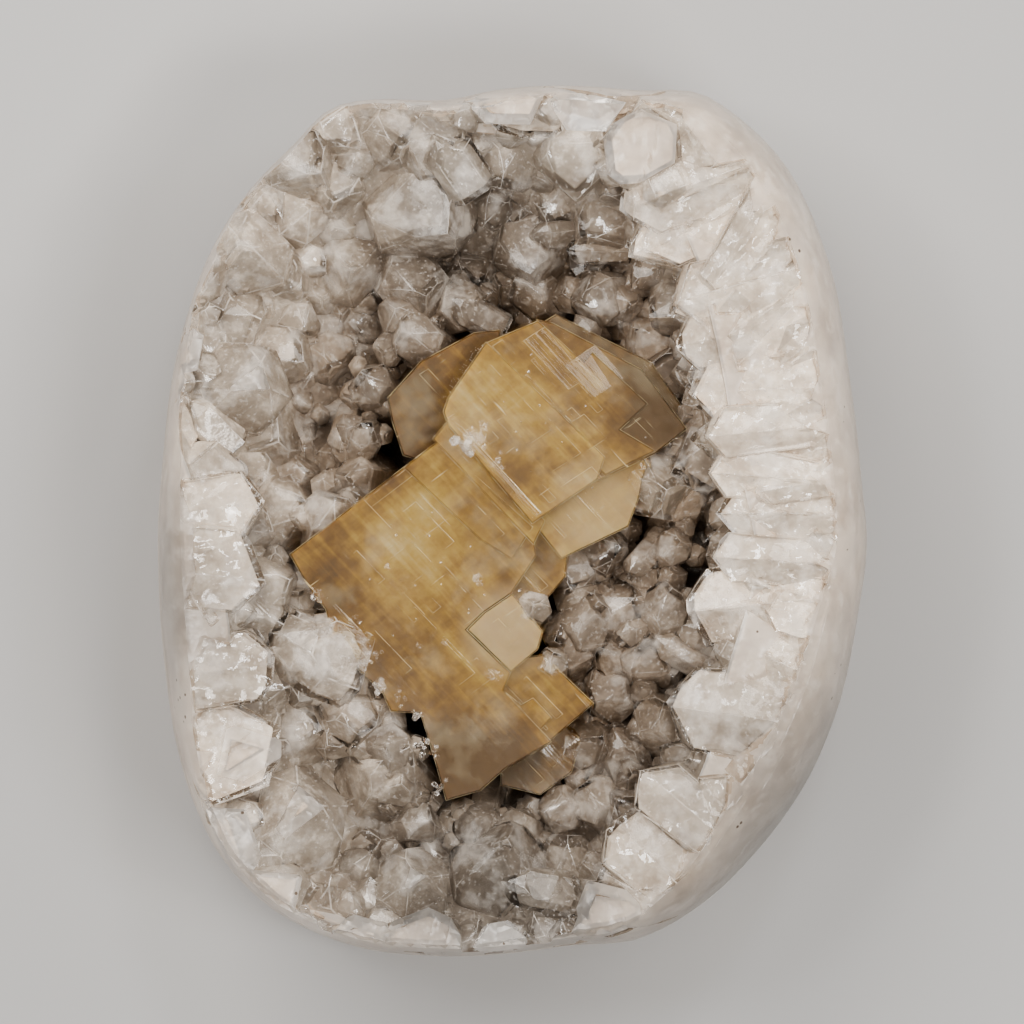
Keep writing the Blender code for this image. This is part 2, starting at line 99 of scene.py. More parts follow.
STANDOUT_POINTS = [
    ((17.5, 97, 78), (0, -0.72, 0.55), 23), ((-22, 82, 72), (0.25, -0.35, 0.9), 27),
    ((-26, 63, 66), (0.2, -0.2, 0.95), 20), ((-19, 101, 82), (0.35, 0.1, 0.9), 17),
    ((-71, 37, 78), (0.25, 0.1, 0.95), 24), ((-72, 73, 76), (-0.1, 0.1, 1), 21),
    ((-56, -33, 78.5), (0.30, 0.35, 0.9), 18), ((-32, -66, 70), (0.30, 0.45, 0.85), 22),
    ((-58, -80, 80), (0.2, 0.3, 0.95), 26), ((-3, -92, 74), (0.1, 0.45, 0.9), 24),
    ((-27, -98, 80), (0.05, 0.25, 0.95), 21), ((13, -102, 77), (0.1, 0.3, 0.95), 17),
    ((28, -60, 58), (0.05, 0.1, 1), 15), ((35, -44, 56), (-0.1, 0.1, 1), 20),
]
CUT_POINTS = [
    ((29.5, 104.5), 190, 22, 5), ((28.5, 83), 200, 17, 7), ((35, 72), 205, 13, 6),
    ((42.5, 58.5), 195, 17, 5), ((43.5, 47), 190, 16, 5), ((47, 34.5), 182, 17, 6),
    ((51, 22.5), 185, 13, 5), ((52, 13), 176, 12, 6), ((53.5, 2), 180, 14, 5), ((53, -9.5), 176, 12, 6),
    ((45, -24.5), 186, 24, 6), ((41, -49.5), 172, 21, 5), ((34, -66), 140, 17, 7), ((26, -79), 135, 19, 7),
    ((19.5, -91.5), 150, 18, 6), ((33, -92), 130, 20, 5), ((2, 99), 262, 27, 6), ((-66, 6), 10, 20, 6),
    ((-64.5, -16), 355, 23, 5), ((-62, -38), 8, 19, 6), ((-60, -55), 20, 24, 5),
]
LOWER_PLANE = Vector((-0.024, 0.067, 84.1))
UPPER_PLANE = Vector((-0.182, -0.085, 87.6))
LOWER_LEAN = Vector((0.03, 0.02))
UPPER_LEAN = Vector((-0.02, 0.04))
LOWER_STEPS = [
    (0, 50, [
        (-59.9, -8.9), (-20, 21.6), (5.7, -1.6), (6.5, -9.5), (0, -19.4), (-7.6, -24.6), (-12.2, -29.2),
        (-0.3, -40.8), (-2.2, -45.6), (10.8, -59.4), (-1.4, -66.4), (-8.4, -72.6), (-17.8, -75.3),
        (-21.3, -62.9), (-24.8, -51.8), (-32.7, -51.3), (-35.4, -45.1), (-41.3, -40.8), (-48.3, -31.9),
        (-50.2, -23.8), (-55.4, -16.7),
    ]),
    (0.8, 40, [(-7.6, -24.6), (0, -19.4), (8.4, -29.7), (7, -34.6), (-0.3, -40.8), (-12.2, -29.2)]),
    (-1.5, 46, [(-3.2, -37.5), (8.4, -35.9), (22.1, -49.1), (7.6, -61.6), (-3.2, -67.8), (-11.3, -48.3)]),
    (-0.7, 30, [(-2.2, -45.6), (2.4, -49.4), (5.7, -47.5), (10.8, -52.9), (7.6, -56.4), (-3.2, -52.4)]),
    (0.6, 30, [(-29.2, 14.3), (-20, 21.6), (5.7, -1.6), (0, -10.5), (-8.6, -5.1)]),
    (-11, 36, [(-3.2, -60.5), (10.8, -52.4), (18.6, -59.1), (16.2, -67.8), (7.6, -74), (-3.2, -71.3)]),
]
UPPER_STEPS = [
    (0, 46, [
        (-17.3, 33.2), (-7, 48.3), (25.1, 17.3), (23, 11.1), (5.4, -0.8), (-17.3, 25.7), (-18.6, 29.4),
    ]),
    (-1, 44, [
        (-7.4, 47.8), (7, 54), (19.2, 42.9), (21.6, 45.6), (36.7, 31.6), (29.2, 24.6), (38.9, 18.9),
        (25.1, 12.2), (13, 21.9),
    ]),
    (-2, 42, [(6.5, 54.3), (10.8, 53.5), (35.1, 40.8), (47.2, 24.8), (38.5, 18), (23, 10.5), (13, 24.6)]),
    (-2.6, 42, [(-21.5, 22), (-16, 28.5), (9, 0), (5.8, -6.5)]),
    (-6.5, 36, [(4.9, 51.6), (11.9, 55.8), (37.7, 42.8), (49.2, 26.2), (46.2, 21.9), (23.8, 21.9)]),
    (-8.5, 34, [
        (-3.2, 32.7), (-16.7, 13.8), (-29.4, 17.6), (-32.4, 27), (-33.5, 33.2), (-24.8, 42.9),
        (-10.3, 50.8), (-3.2, 51.6),
    ]),
    (-3.5, 34, [
        (2.2, 1.4), (23, 13.8), (34.6, 19.7), (37.2, 13.8), (31.3, -1.6), (13.2, -10.3), (6.5, -1.9),
    ]),
]
PERCHED_POINTS = [
    ((39.5, 9, 74), (0.15, -0.05, 1), 19), ((5.4, -23, 81.5), (0.05, 0.1, 1), 8.6),
    ((11, -37.5, 78.5), (0.05, 0.45, 0.85), 8),
]
PERCHED_ROOT = 12.0

# What the dressed block adds: finer steps, worn edges, and a broken front a little below the ground surface.
FINE_ANGLES = 160
FINE_HOLLOW_ANGLES = 60
FINE_HOLLOW_RINGS = [0.12, 0.25, 0.38, 0.50, 0.61, 0.71, 0.80, 0.88, 0.95, 1.0]
INSIDE_BOX = 0.998
# How far the broken front lies under the ground surface next to it, by compass angle.
FRONT_SUNK = [(0, 4.0), (60, 4.0), (150, 2.2), (170, 1.4), (210, 1.4), (228, 2.6), (300, 4.0)]
POINT_WEAR = 0.13
# Left of this, crystals have edges this much more worn, and break this much smoother.
CREAM_SIDE = (-45.0, 2.0, 0.3)
DETAIL_SEED = 21
# How wide the smoothly ground band is round the front, as a share of the way to the middle.
BAND = [
    (0, 0.085), (40, 0.085), (75, 0.04), (110, 0.03), (145, 0.03), (165, 0.05), (185, 0.07), (205, 0.07),
    (225, 0.04), (255, 0.03), (285, 0.05), (310, 0.135), (335, 0.13),
]
# Where the front is ground or broken across (1), and where whole crystals stand up to the block's edge (0).
BROKEN_FRONT = [
    (0, 1), (50, 1), (64, 0.9), (76, 0), (105, 0), (135, 0), (150, 0.3), (164, 1), (190, 1), (212, 1),
    (226, 0), (250, 0), (278, 0), (292, 0.9), (305, 1),
]
# How far the front lies lower at its middle and where the crystals are whole, and how wide its slope is.
MIDDLE_SUNK = 4.0
WHOLE_SUNK = 11.0
SUNK_SLOPE = 0.05
MIDDLE_RING = 0.55
MIDDLE_PROUD = 0.6
CUT_REACH = 62.0
HOLLOW_CARRIED_UP = 30
# The cloudy quartz lies this far under the clear skin: below the ground faces in millimetres, and in from the
# sides and tip faces of a point as shares of its width. Its corners are this round. The two shares are
# smaller in the broken crystals of the front, by the factor BROKEN_CORE, and vary in the others, by CLEARER.
SKIN = 0.9
CORE_SIDE = 0.065
CORE_TIP = 0.13
CORE_ROUND = 0.012
BROKEN_CORE = 0.4
CLEARER = (0.7, 2.1)
# A crystal's kind, kept on its faces: whole, broken off at the front, or part of the ground block.
WHOLE, BROKEN, GROUND = 0.0, 1.0, 3.0
OVER_WHOLE, OVER_BROKEN = 0.5, 2.5
# Narrower crystals than this have less worn edges.
WEAR_WIDTH = 14
# Points are larger past this share of the way to the rim. None stands this far inside the calcite's outline.
RIM_SHARE = 0.62
RIM_REACH = 0.6
CALCITE_MARGIN = 2.5


# Values along the outline and the hollow.


def smooth_value(rows, angle, column=1):
    """The value at any angle in a table of (compass angle, ...) rows, on a smooth closed curve."""
    angle %= 360
    count = len(rows)
    after = next((i for i, row in enumerate(rows) if row[0] > angle), count)
    first, second, third, fourth = (rows[(after + shift) % count] for shift in (-2, -1, 0, 1))
    span = (third[0] - second[0]) % 360
    share = ((angle - second[0]) % 360) / span
    rise_in = (third[column] - first[column]) * span / ((third[0] - first[0]) % 360)
    rise_out = (fourth[column] - second[column]) * span / ((fourth[0] - second[0]) % 360)
    square, cube = share**2, share**3
    return (
        second[column] * (2 * cube - 3 * square + 1)
        + third[column] * (3 * square - 2 * cube)
        + rise_in * (cube - 2 * square + share)
        + rise_out * (cube - square)
    )


OUTLINE_REACH = sorted((math.degrees(math.atan2(y, x)) % 360, math.hypot(x, y)) for x, y in OUTLINE)


def compass(angle, reach):
    return Vector((math.cos(math.radians(angle)), math.sin(math.radians(angle)))) * reach


def outline_point(angle, share):
    """A point at a share of the way from the middle to the outline."""
    return (compass(angle, smooth_value(OUTLINE_REACH, angle) * share) + OUTLINE_SHIFT) * INSIDE_BOX


def front_height(angle):
    return BLOCK_HEIGHT - smooth_value(FRONT_FALL, angle)


def hollow_point(angle, share):
    """A point of the hollow's wall, at a share of the way from the middle to the rim."""
    reach, rim, steepness = (smooth_value(HOLLOW, angle, column) for column in (1, 2, 3))
    flat = HOLLOW_CENTRE + compass(angle, reach * share)
    return Vector((*flat, HOLLOW_FLOOR + (BLOCK_HEIGHT + rim - HOLLOW_FLOOR) * share**steepness))


def hollow_normal(angle, share):
    """The way that the wall faces, into the hollow."""
    round_it = hollow_point(angle + 2, share) - hollow_point(angle - 2, share)
    up_it = hollow_point(angle, share + 0.01) - hollow_point(angle, share - 0.01)
    return up_it.cross(round_it).normalized()


# Meshes.


def mesh_object(name, points, faces):
    """An object from points in millimetres, with its faces turned outwards."""
    shape = bmesh.new()
    corners = [shape.verts.new(Vector(point) * MM) for point in points]
    for face in faces:
        shape.faces.new([corners[i] for i in face])
    return object_of(name, shape)


def object_of(name, shape):
    bmesh.ops.recalc_face_normals(shape, faces=shape.faces)
    mesh = bpy.data.meshes.new(name)
    shape.to_mesh(mesh)
    shape.free()
    made = bpy.data.objects.new(name, mesh)
    bpy.context.scene.collection.objects.link(made)
    return made


def lofted(name, rings, first_tip, last_tip):
    """A closed solid through rings of points, with a fan of faces to a tip at each end."""
    count = len(rings[0])
    points = [first_tip, *[point for ring in rings for point in ring], last_tip]
    faces = []
    for step in range(count):
        after = (step + 1) % count
        faces.append((0, 1 + after, 1 + step))
        for ring in range(len(rings) - 1):
            low, high = 1 + ring * count, 1 + (ring + 1) * count
            faces.append((low + step, low + after, high + after, high + step))
        last = 1 + (len(rings) - 1) * count
        faces.append((last + step, last + after, len(points) - 1))
    return mesh_object(name, points, faces)


def profile():
    """The outer surface from back to shoulder, as (share, shoulder share, height) rows on a smooth line."""
    wall_share, wall_height = WALL_RINGS[-1]
    rows = [(share, 0.0, height) for share, height in WALL_RINGS]
    rows += [(wall_share, inwards, wall_height + up * (1 - wall_height)) for inwards, up in SHOULDER_RINGS]
    fine = []
    for number in range(len(rows) - 1):
        before, here, there, beyond = (
            Vector(rows[min(max(number + shift, 0), len(rows) - 1)]) for shift in (-1, 0, 1, 2)
        )
        for part in range(3):
            t = part / 3
            fine.append(
                0.5 * (2 * here + (there - before) * t + (2 * before - 5 * here + 4 * there - beyond) * t**2
                       + (3 * here - before - 3 * there + beyond) * t**3)
            )
    return [Vector(rows[0]), *fine[1:], Vector(rows[-1])]


def whole(angle):
    """How far the crystals at this side of the block are whole and not ground or broken, from 0 to 1."""
    return 1.0 - min(max(smooth_value(BROKEN_FRONT, angle), 0.0), 1.0)


def band_share(angle):
    """Where the ground band round the front ends, as a share of the way from the middle to the outline."""
    return WALL_RINGS[-1][0] - smooth_value(BAND, angle)


def block(name, sunk, inset=0.0):
    """The ground block, shrunk by an inset. With sunk, its front lies lower inside its shoulder."""
    angles = [360 * step / FINE_ANGLES for step in range(FINE_ANGLES)]
    rings = []
    for share, inwards, height in profile():
        rings.append([
            (*outline_point(angle, share - inwards * smooth_value(BAND, angle) - inset / 100),
             max(max(height, 0.0) * (front_height(angle) - inset - whole(angle) * WHOLE_SUNK * sunk), inset)
             * INSIDE_BOX)
            for angle in angles
        ])
    if sunk:
        rings.append([
            (*outline_point(angle, band_share(angle) - SUNK_SLOPE - inset / 100),
             front_height(angle) - smooth_value(FRONT_SUNK, angle) - inset - whole(angle) * WHOLE_SUNK)
            for angle in angles
        ])
    lower = MIDDLE_SUNK if sunk else 0.0
    rings.append([
        (*outline_point(angle, MIDDLE_RING),
         (front_height(angle) + MIDDLE_PROUD - lower - inset) * INSIDE_BOX)
        for angle in angles
    ])
    return lofted(name, rings, (0, 0, inset), (0, 0, BLOCK_HEIGHT - lower - inset))


def hollow_solid(name, inwards):
    """The space inside the hollow, moved in from its wall, and carried up past the front."""
    angles = [360 * step / FINE_HOLLOW_ANGLES for step in range(FINE_HOLLOW_ANGLES)]
    rings = [
        [hollow_point(angle, share) + hollow_normal(angle, share) * inwards for angle in angles]
        for share in FINE_HOLLOW_RINGS
    ]
    top = BLOCK_HEIGHT + HOLLOW_CARRIED_UP
    rings.append([(*point.xy, top) for point in rings[-1]])
    return lofted(name, rings, (*HOLLOW_CENTRE, HOLLOW_FLOOR + inwards), (*HOLLOW_CENTRE, top))


def point_planes(width, root, chance, face_lean=TIP_FACE_LEAN):
    """The faces of a six-sided quartz crystal about its own axis: prism, tip and broken root."""
    planes = []
    for side in range(6):
        turn = math.radians(60 * side)
        out = Vector((math.cos(turn), math.sin(turn), 0))
        half = width / 2 * (1 + chance.uniform(-POINT_UNEVEN, POINT_UNEVEN))
        planes.append((out * half, out))
        lean = out * math.sin(face_lean) + Vector((0, 0, math.cos(face_lean)))
        held_back = chance.uniform(0.0, 0.10) if side % 2 else chance.uniform(-0.16, -0.02)
        planes.append((out * (width / 2) + Vector((0, 0, -held_back * width)), lean))
    planes.append((Vector((0, 0, -root)), Vector((0, 0, -1))))
    return planes


def behind_planes(planes, size):
    """The convex shape that lies behind all of the planes."""
    shape = bmesh.new()
    bmesh.ops.create_cube(shape, size=size)
    for at, normal in planes:
        everything = shape.verts[:] + shape.edges[:] + shape.faces[:]
        cut = bmesh.ops.bisect_plane(
            shape, geom=everything, dist=1e-4, plane_co=at, plane_no=normal, clear_outer=True
        )
        edges = [part for part in cut["geom_cut"] if isinstance(part, bmesh.types.BMEdge)]
        if edges:
            bmesh.ops.edgeloop_fill(shape, edges=edges)
    bmesh.ops.recalc_face_normals(shape, faces=shape.faces)
    return shape


def faced(shape, place, wear, tone, kind, detail):
    """Wears a convex shape's edges, gives its faces their values, and makes an object of it in its place."""
    layers = {name: shape.faces.layers.float.new(name) for name in ("tone", "facet", "edge", "sort")}
    for face in shape.faces:
        face[layers["facet"]] = detail.uniform(0, 1)
    worn = bmesh.ops.bevel(
        shape, geom=shape.edges[:], offset=wear, segments=1, affect="EDGES", clamp_overlap=True
    )
    for face in worn["faces"]:
        face[layers["edge"]] = 1.0
    for face in shape.faces:
        face[layers["tone"]] = tone
        face[layers["sort"]] = kind
    bmesh.ops.transform(shape, matrix=Matrix.Scale(MM, 4) @ place, verts=shape.verts)
    return object_of("crystal", shape)


def crystal(
    foot, way, width, root, chance, detail,
    face_lean=TIP_FACE_LEAN, fronts=(), kind=WHOLE, cored=True, toward=None,
):
    """A quartz crystal in its place, clear outside with worn edges, and the cloudy core in it.

    fronts are planes that break it off, in the block's axes. Its first side can be turned toward a direction.
    """
    planes = point_planes(width, root, chance, face_lean)
    facing = Vector(way).to_track_quat("Z", "Y").to_matrix()
    turned = chance.uniform(0, math.tau)
    if toward:
        aim = facing.transposed() @ toward
        turned = math.atan2(aim.y, aim.x)
    place = Matrix.Translation(Vector(foot)) @ facing.to_4x4() @ Matrix.Rotation(turned, 4, "Z")
    near = BROKEN_CORE if kind > OVER_WHOLE else detail.uniform(*CLEARER)
    insets = [(CORE_TIP if 0 < normal.z < 0.99 else CORE_SIDE) * width * near for _, normal in planes]
    back = place.inverted()
    for at, normal in fronts:
        planes.append((back @ at, back.to_3x3() @ normal))
        insets.append(SKIN)
    size = 6 * (width + root)
    shape = behind_planes(planes, size)
    if len(shape.faces) < 5:
        shape.free()
        return []
    tone = detail.uniform(0, 1)
    more_worn = CREAM_SIDE[1] if Vector(foot).x < CREAM_SIDE[0] else 1.0
    wear = POINT_WEAR * min(1.0, width / WEAR_WIDTH) * more_worn
    made = [faced(shape, place, wear, tone, kind, detail)]
    if cored:
        inner = [(at - normal * inset, normal) for (at, normal), inset in zip(planes, insets)]
        core = behind_planes(inner, size)
        if len(core.faces) > 4:
            made.append(faced(core, place, CORE_ROUND * width, tone, kind, detail))
        else:
            core.free()
    return made


def grown(outline, by):
    """An outline, clockwise from above, moved outwards by a distance."""
    moved = []
    for number, corner in enumerate(outline):
        here = Vector(corner)
        edge_in = (here - Vector(outline[number - 1])).normalized()
        edge_out = (Vector(outline[(number + 1) % len(outline)]) - here).normalized()
        out_in = Vector((-edge_in.y, edge_in.x))
        out_out = Vector((-edge_out.y, edge_out.x))
        moved.append(here + (out_in + out_out) * by / (1 + out_in.dot(out_out)))
    return moved


def calcite_step(name, plane, lean, step):
    """One step of a calcite crystal: its outline carried down from its top."""
    rise, depth, outline, *tilt = step
    points = []
    for down in (0, depth):
        for corner in outline:
            top = plane.z + rise + plane.x * corner[0] + plane.y * corner[1]
            if tilt:
                top += tilt[0].dot(Vector(corner) - Vector(outline[0]))
            points.append((*(Vector(corner) + lean * down), top - down))
    count = len(outline)
    faces = [tuple(range(count)), tuple(range(2 * count - 1, count - 1, -1))]
    faces += [(i, i + count, (i + 1) % count + count, (i + 1) % count) for i in range(count)]
    return mesh_object(name, points, faces)


def inside_outline(point, outline):
    """True if a point lies within an outline, seen from above."""
    inside = False
    for number, (x, y) in enumerate(outline):
        last_x, last_y = outline[number - 1]
        if (y > point.y) != (last_y > point.y):
            if point.x < x + (last_x - x) * (point.y - y) / (last_y - y):
                inside = not inside
    return inside


def under_calcite(point, margin):
    """True if a point is hidden behind the calcite, seen from above, well inside one of its outlines."""
    return any(inside_outline(point, grown(outline, -margin)) for _, _, outline in LOWER_STEPS + UPPER_STEPS)


def crowded(foot, width, places, spacing):
    """True if a place is closer to a taken one than a share of the mean of their widths."""
    return any((foot - other).length < spacing * (width + size) / 2 for other, size in places)


def compass_of(at):
    """The compass angle of a place about the middle."""
    return math.degrees(math.atan2(at.y, at.x))


def lining_places(chance):
    """Where the lining's points stand: evenly scattered over the hollow's wall, larger towards the rim."""
    places = [(Vector(foot), width) for foot, _, width in STANDOUT_POINTS]
    taken = []
    for _ in range(POINT_TRIES):
        angle = chance.uniform(0, 360)
        share = math.sqrt(chance.uniform(0.0, 1.0))
        low, high = RIM_WIDTH if share > RIM_SHARE else DEEP_WIDTH
        width = chance.uniform(low, high)
        foot = hollow_point(angle, share)
        if foot.z > BLOCK_HEIGHT + 1 or under_calcite(foot, CALCITE_MARGIN):
            continue
        if crowded(foot, width, places, POINT_SPACING):
            continue
        places.append((foot, width))
        normal = hollow_normal(angle, share)
        tilt = Vector([chance.uniform(-POINT_TILT, POINT_TILT) for _ in range(3)])
        way = (normal + tilt + Vector((0, 0, POINT_UPWARDS))).normalized()
        taken.append((foot + way * width * chance.uniform(*POINT_RISE), way, width))
    return taken


def main_crystals(detail):
    """The crystals that the part itself has, in the same places and of the same shapes."""
    chance = random.Random(POINT_SEED)
    made = []
    for foot, way, width in STANDOUT_POINTS:
        made.append(crystal(foot, way, width, width * STANDOUT_ROOT, chance, detail))
    for (x, y), way_round, width, below in CUT_POINTS:
        way = Vector((*compass(way_round, 1.0), 0.0))
        foot = Vector((x, y, BLOCK_HEIGHT - below)) - way * width * CUT_BACK
        fronts = broken_ridge(foot, way, detail)
        made.append(crystal(foot, way, width, CUT_REACH, chance, detail, CUT_FACE_LEAN, fronts, BROKEN))
    lining = lining_places(chance)
    for foot, way, width in lining:
        angle = compass_of(foot)
        at_front = foot.z + width * RIM_REACH > front_height(angle) - 2 and whole(angle) < 0.5
        fronts = ()
        if at_front:
            way = Vector((way.x, way.y, way.z * RIM_UPRIGHT)).normalized()
            fronts = broken_ridge(foot, Vector((way.x, way.y, 0)).normalized(), detail, RIM_DROP)
        kind = BROKEN if at_front else WHOLE
        made.append(crystal(foot, way, width, POINT_ROOT, chance, detail, fronts=fronts, kind=kind))
    return made, lining


def broken_ridge(at, way, detail, lower=0.0):
    """Two planes that break a crystal off along its length. Their low ridge rises to the ground band."""
    angle = compass_of(at)
    calm = CREAM_SIDE[2] if at.x < CREAM_SIDE[0] else 1.0
    drop = detail.uniform(*RIDGE_DROP) * calm + lower
    band = outline_point(angle, band_share(angle))
    rise = (drop + RIDGE_PROUD) / max((band - at.xy).length, 8.0)
    ridge = Vector((at.x, at.y, front_height(angle) - drop))
    across = Vector((-way.y, way.x, 0.0)).normalized()
    planes = []
    for side in (-1, 1):
        tilt = math.tan(math.radians(detail.uniform(*RIDGE_TILT) * calm))
        normal = Vector((way.x * rise, way.y * rise, 1.0)) + across * side * tilt
        planes.append((ridge, normal.normalized()))
    return planes


# Extra crystals between the part's own: how many tries, their widths, and how close they may stand.
FILL_TRIES = 7000
FILL_WIDTH = (5.5, 13.0)
FILL_SPACING = 0.68
FILL_RISE = (-0.05, 0.38)
FILL_AT_RIM, FILL_DEEP = 1.15, 0.9
FILL_TILT = 0.65
FILL_UPWARDS = 0.2
FILL_REACH = 0.8
RAISED_PLACES = [
    (16, -15, 67), (25, -8, 68), (35, -13, 67), (44, -7, 67), (21, -25, 67), (31, -23, 67), (42, -22, 68),
    (16, -33, 66), (26, -36, 66), (37, -35, 67), (26, -47, 65), (40, -52, 66), (32, -68, 66), (21, -60, 62),
    (22, -74, 66), (12, -78, 66), (47, 8, 68), (44, 21, 66), (2, -84, 68), (-10, -84, 70), (-24, -81, 70),
    (-31, -71, 70), (-33, -61, 71), (-42, -55, 72), (-46, -46, 72), (-54, -39, 73), (-58, -28, 73),
    (-64, -17, 74), (-49, 3, 72), (-42, 12, 69), (-39, 24, 67), (-38, 37, 66), (-27, 50, 66), (-12, 58, 64),
    (5, 63, 64), (22, 60, 65), (36, 50, 66), (47, 38, 67), (52, 26, 68),
]
RAISED_WIDTH = (9.0, 15.0)
RAISED_ROOT = 32.0
RAISED_MORE = 3.0
RAISED_UNEVEN = 3.0
RAISED_TILT = ((-0.7, 0.7), (-0.6, 0.7))
# Each has four smaller ones round it: how far down they stand, and their widths as shares of its own.
SIDE_DROP = (1.0, 7.0)
SIDE_SMALLER = (0.45, 0.85)
SIDE_APART = (0.45, 0.65)
SIDE_LEAN = 0.05
# The ridge of a broken crystal: how far down it starts at its tip, how far past the ground surface it would
# end, and its slopes to each side, in degrees. Those of the lining start lower and are laid flatter.
RIDGE_DROP = (1.0, 6.0)
RIDGE_PROUD = 0.3
RIM_DROP = 3.0
RIM_UPRIGHT = 0.25
RIDGE_TILT = (3.0, 20.0)
# The flaky broken surface: the height from which it is found, how level its faces are, and how short its
# edges are split. Flakes and grain have these widths and depths, and are shallower on the ground surface.
BROKEN_FROM = 78.0
LEVEL_NATURAL, LEVEL_BROKEN = 0.30, 0.75
SPLIT_LENGTHS = (3.2, 1.9, 1.9)
FLAKE_WIDTH, FLAKE_DEPTH = 7.5, 0.9
GRAIN_WIDTH, GRAIN_DEPTH = 3.0, 0.45
FLAKES_LOWER = 0.35
GROUND_FLAKES = 0.25
# Edges between faces that turn by more degrees than this look sharp.
QUARTZ_SHARP = 24
CALCITE_SHARP = 12
# Crystals along the front: the columns broken across, and the whole ones at the top and the lower left.
FRINGE_TRIES = 1700
FRINGE_WIDTH = (11.0, 20.0)
FRINGE_SPACING = 0.56
WHOLE_LARGER = 1.55
FRINGE_REACH = 26.0
RIM_WIDE = 9.0
LONG_COLUMNS = 0.35
COLUMN_SLIMMER = 0.8
COLUMN_REACH = 60.0
COLUMN_DROP = (2.0, 6.0)
FRINGE_DROP = (0.5, 3.5)
FRINGE_FROM = 0.45
FRINGE_INWARDS = 4
FRINGE_LOWER = 0.6
FRINGE_TILT = 0.7
FRINGE_LEAN = 0.45
COLUMN_TURN = 8


def fill_crystals(lining, detail):
    """Smaller points in the gaps between the larger ones."""
    places = [(foot - way * width * 0.3, width) for foot, way, width in lining]
    places += [(Vector(foot), width) for foot, _, width in STANDOUT_POINTS]
    made = []
    for _ in range(FILL_TRIES):
        angle = detail.uniform(0, 360)
        share = math.sqrt(detail.uniform(0.0, 1.0))
        width = detail.uniform(*FILL_WIDTH) * (FILL_AT_RIM if share > 0.6 else FILL_DEEP)
        foot = hollow_point(angle, share)
        if foot.z > BLOCK_HEIGHT + 1 or under_calcite(foot, CALCITE_MARGIN):
            continue
        if crowded(foot, width, places, FILL_SPACING):
            continue
        if whole(angle) < 0.5 and foot.z + width * FILL_REACH > front_height(angle) - 2:
            continue
        places.append((foot, width))
        tilt = Vector([detail.uniform(-FILL_TILT, FILL_TILT) for _ in range(3)])
        way = (hollow_normal(angle, share) + tilt + Vector((0, 0, FILL_UPWARDS))).normalized()
        foot = foot + way * (2.0 + width * detail.uniform(*FILL_RISE))
        made.append(crystal(foot, way, width, POINT_ROOT, detail, detail))
    return made


def raised_crystals(detail):
    """Taller crystals on the floor of the hollow beside the calcite, where it is seen best."""
    made = []
    for x, y, height in RAISED_PLACES:
        width = detail.uniform(*RAISED_WIDTH)
        tilt = Vector((*[detail.uniform(*span) for span in RAISED_TILT], 1.0)).normalized()
        foot = Vector((x, y, height + RAISED_MORE + detail.uniform(-RAISED_UNEVEN, RAISED_UNEVEN)))
        made.append(crystal(foot, tilt, width, RAISED_ROOT, detail, detail))
        first = detail.uniform(0, 360)
        for turn in (0, 90, 180, 270):
            apart = compass(first + turn, width * detail.uniform(*SIDE_APART))
            lower = foot + Vector((*apart, -detail.uniform(*SIDE_DROP)))
            tilt = Vector((apart.x * SIDE_LEAN, apart.y * SIDE_LEAN, 1.0)).normalized()
            smaller = width * detail.uniform(*SIDE_SMALLER)
            made.append(crystal(lower, tilt, smaller, RAISED_ROOT, detail, detail))
    return made


# Points with one tip face turned to mirror the key light upwards: the middle of that face, and the width.
GLINT_POINTS = [
    (-19.4, 100.7, 89.5, 13), (17.8, 73.7, 75, 8), (7.6, 78, 72.5, 8), (-14.9, 58.9, 74, 8.5),
    (-57, -32, 87, 22), (28.6, -59.4, 68, 13), (30.2, -29.7, 76, 8), (40, -31.9, 75.5, 7.5),
    (32.7, -11.6, 74, 7), (-85.6, 30.5, 85, 10), (-46, 22, 68, 8), (2, -97, 85, 12),
]
GLINT_FACING = Vector((-0.2275, 0.2926, 0.9287))
GLINT_ROOT = 14.0
GLINT_BACK, GLINT_ASIDE = 0.25, 0.28


def glint_crystals(detail):
    """Crystals that shine, each with one face turned the same way."""
    made = []
    for x, y, z, width in GLINT_POINTS:
        aside = GLINT_FACING.cross(Vector((*compass(detail.uniform(0, 360), 1.0), 0.0))).normalized()
        way = GLINT_FACING * math.cos(TIP_FACE_LEAN) + aside * math.sin(TIP_FACE_LEAN)
        out = (GLINT_FACING - way * way.dot(GLINT_FACING)).normalized()
        foot = Vector((x, y, z)) - way * width * GLINT_BACK - out * width * GLINT_ASIDE
        made.append(crystal(foot, way, width, GLINT_ROOT, detail, detail, toward=out))
    return made


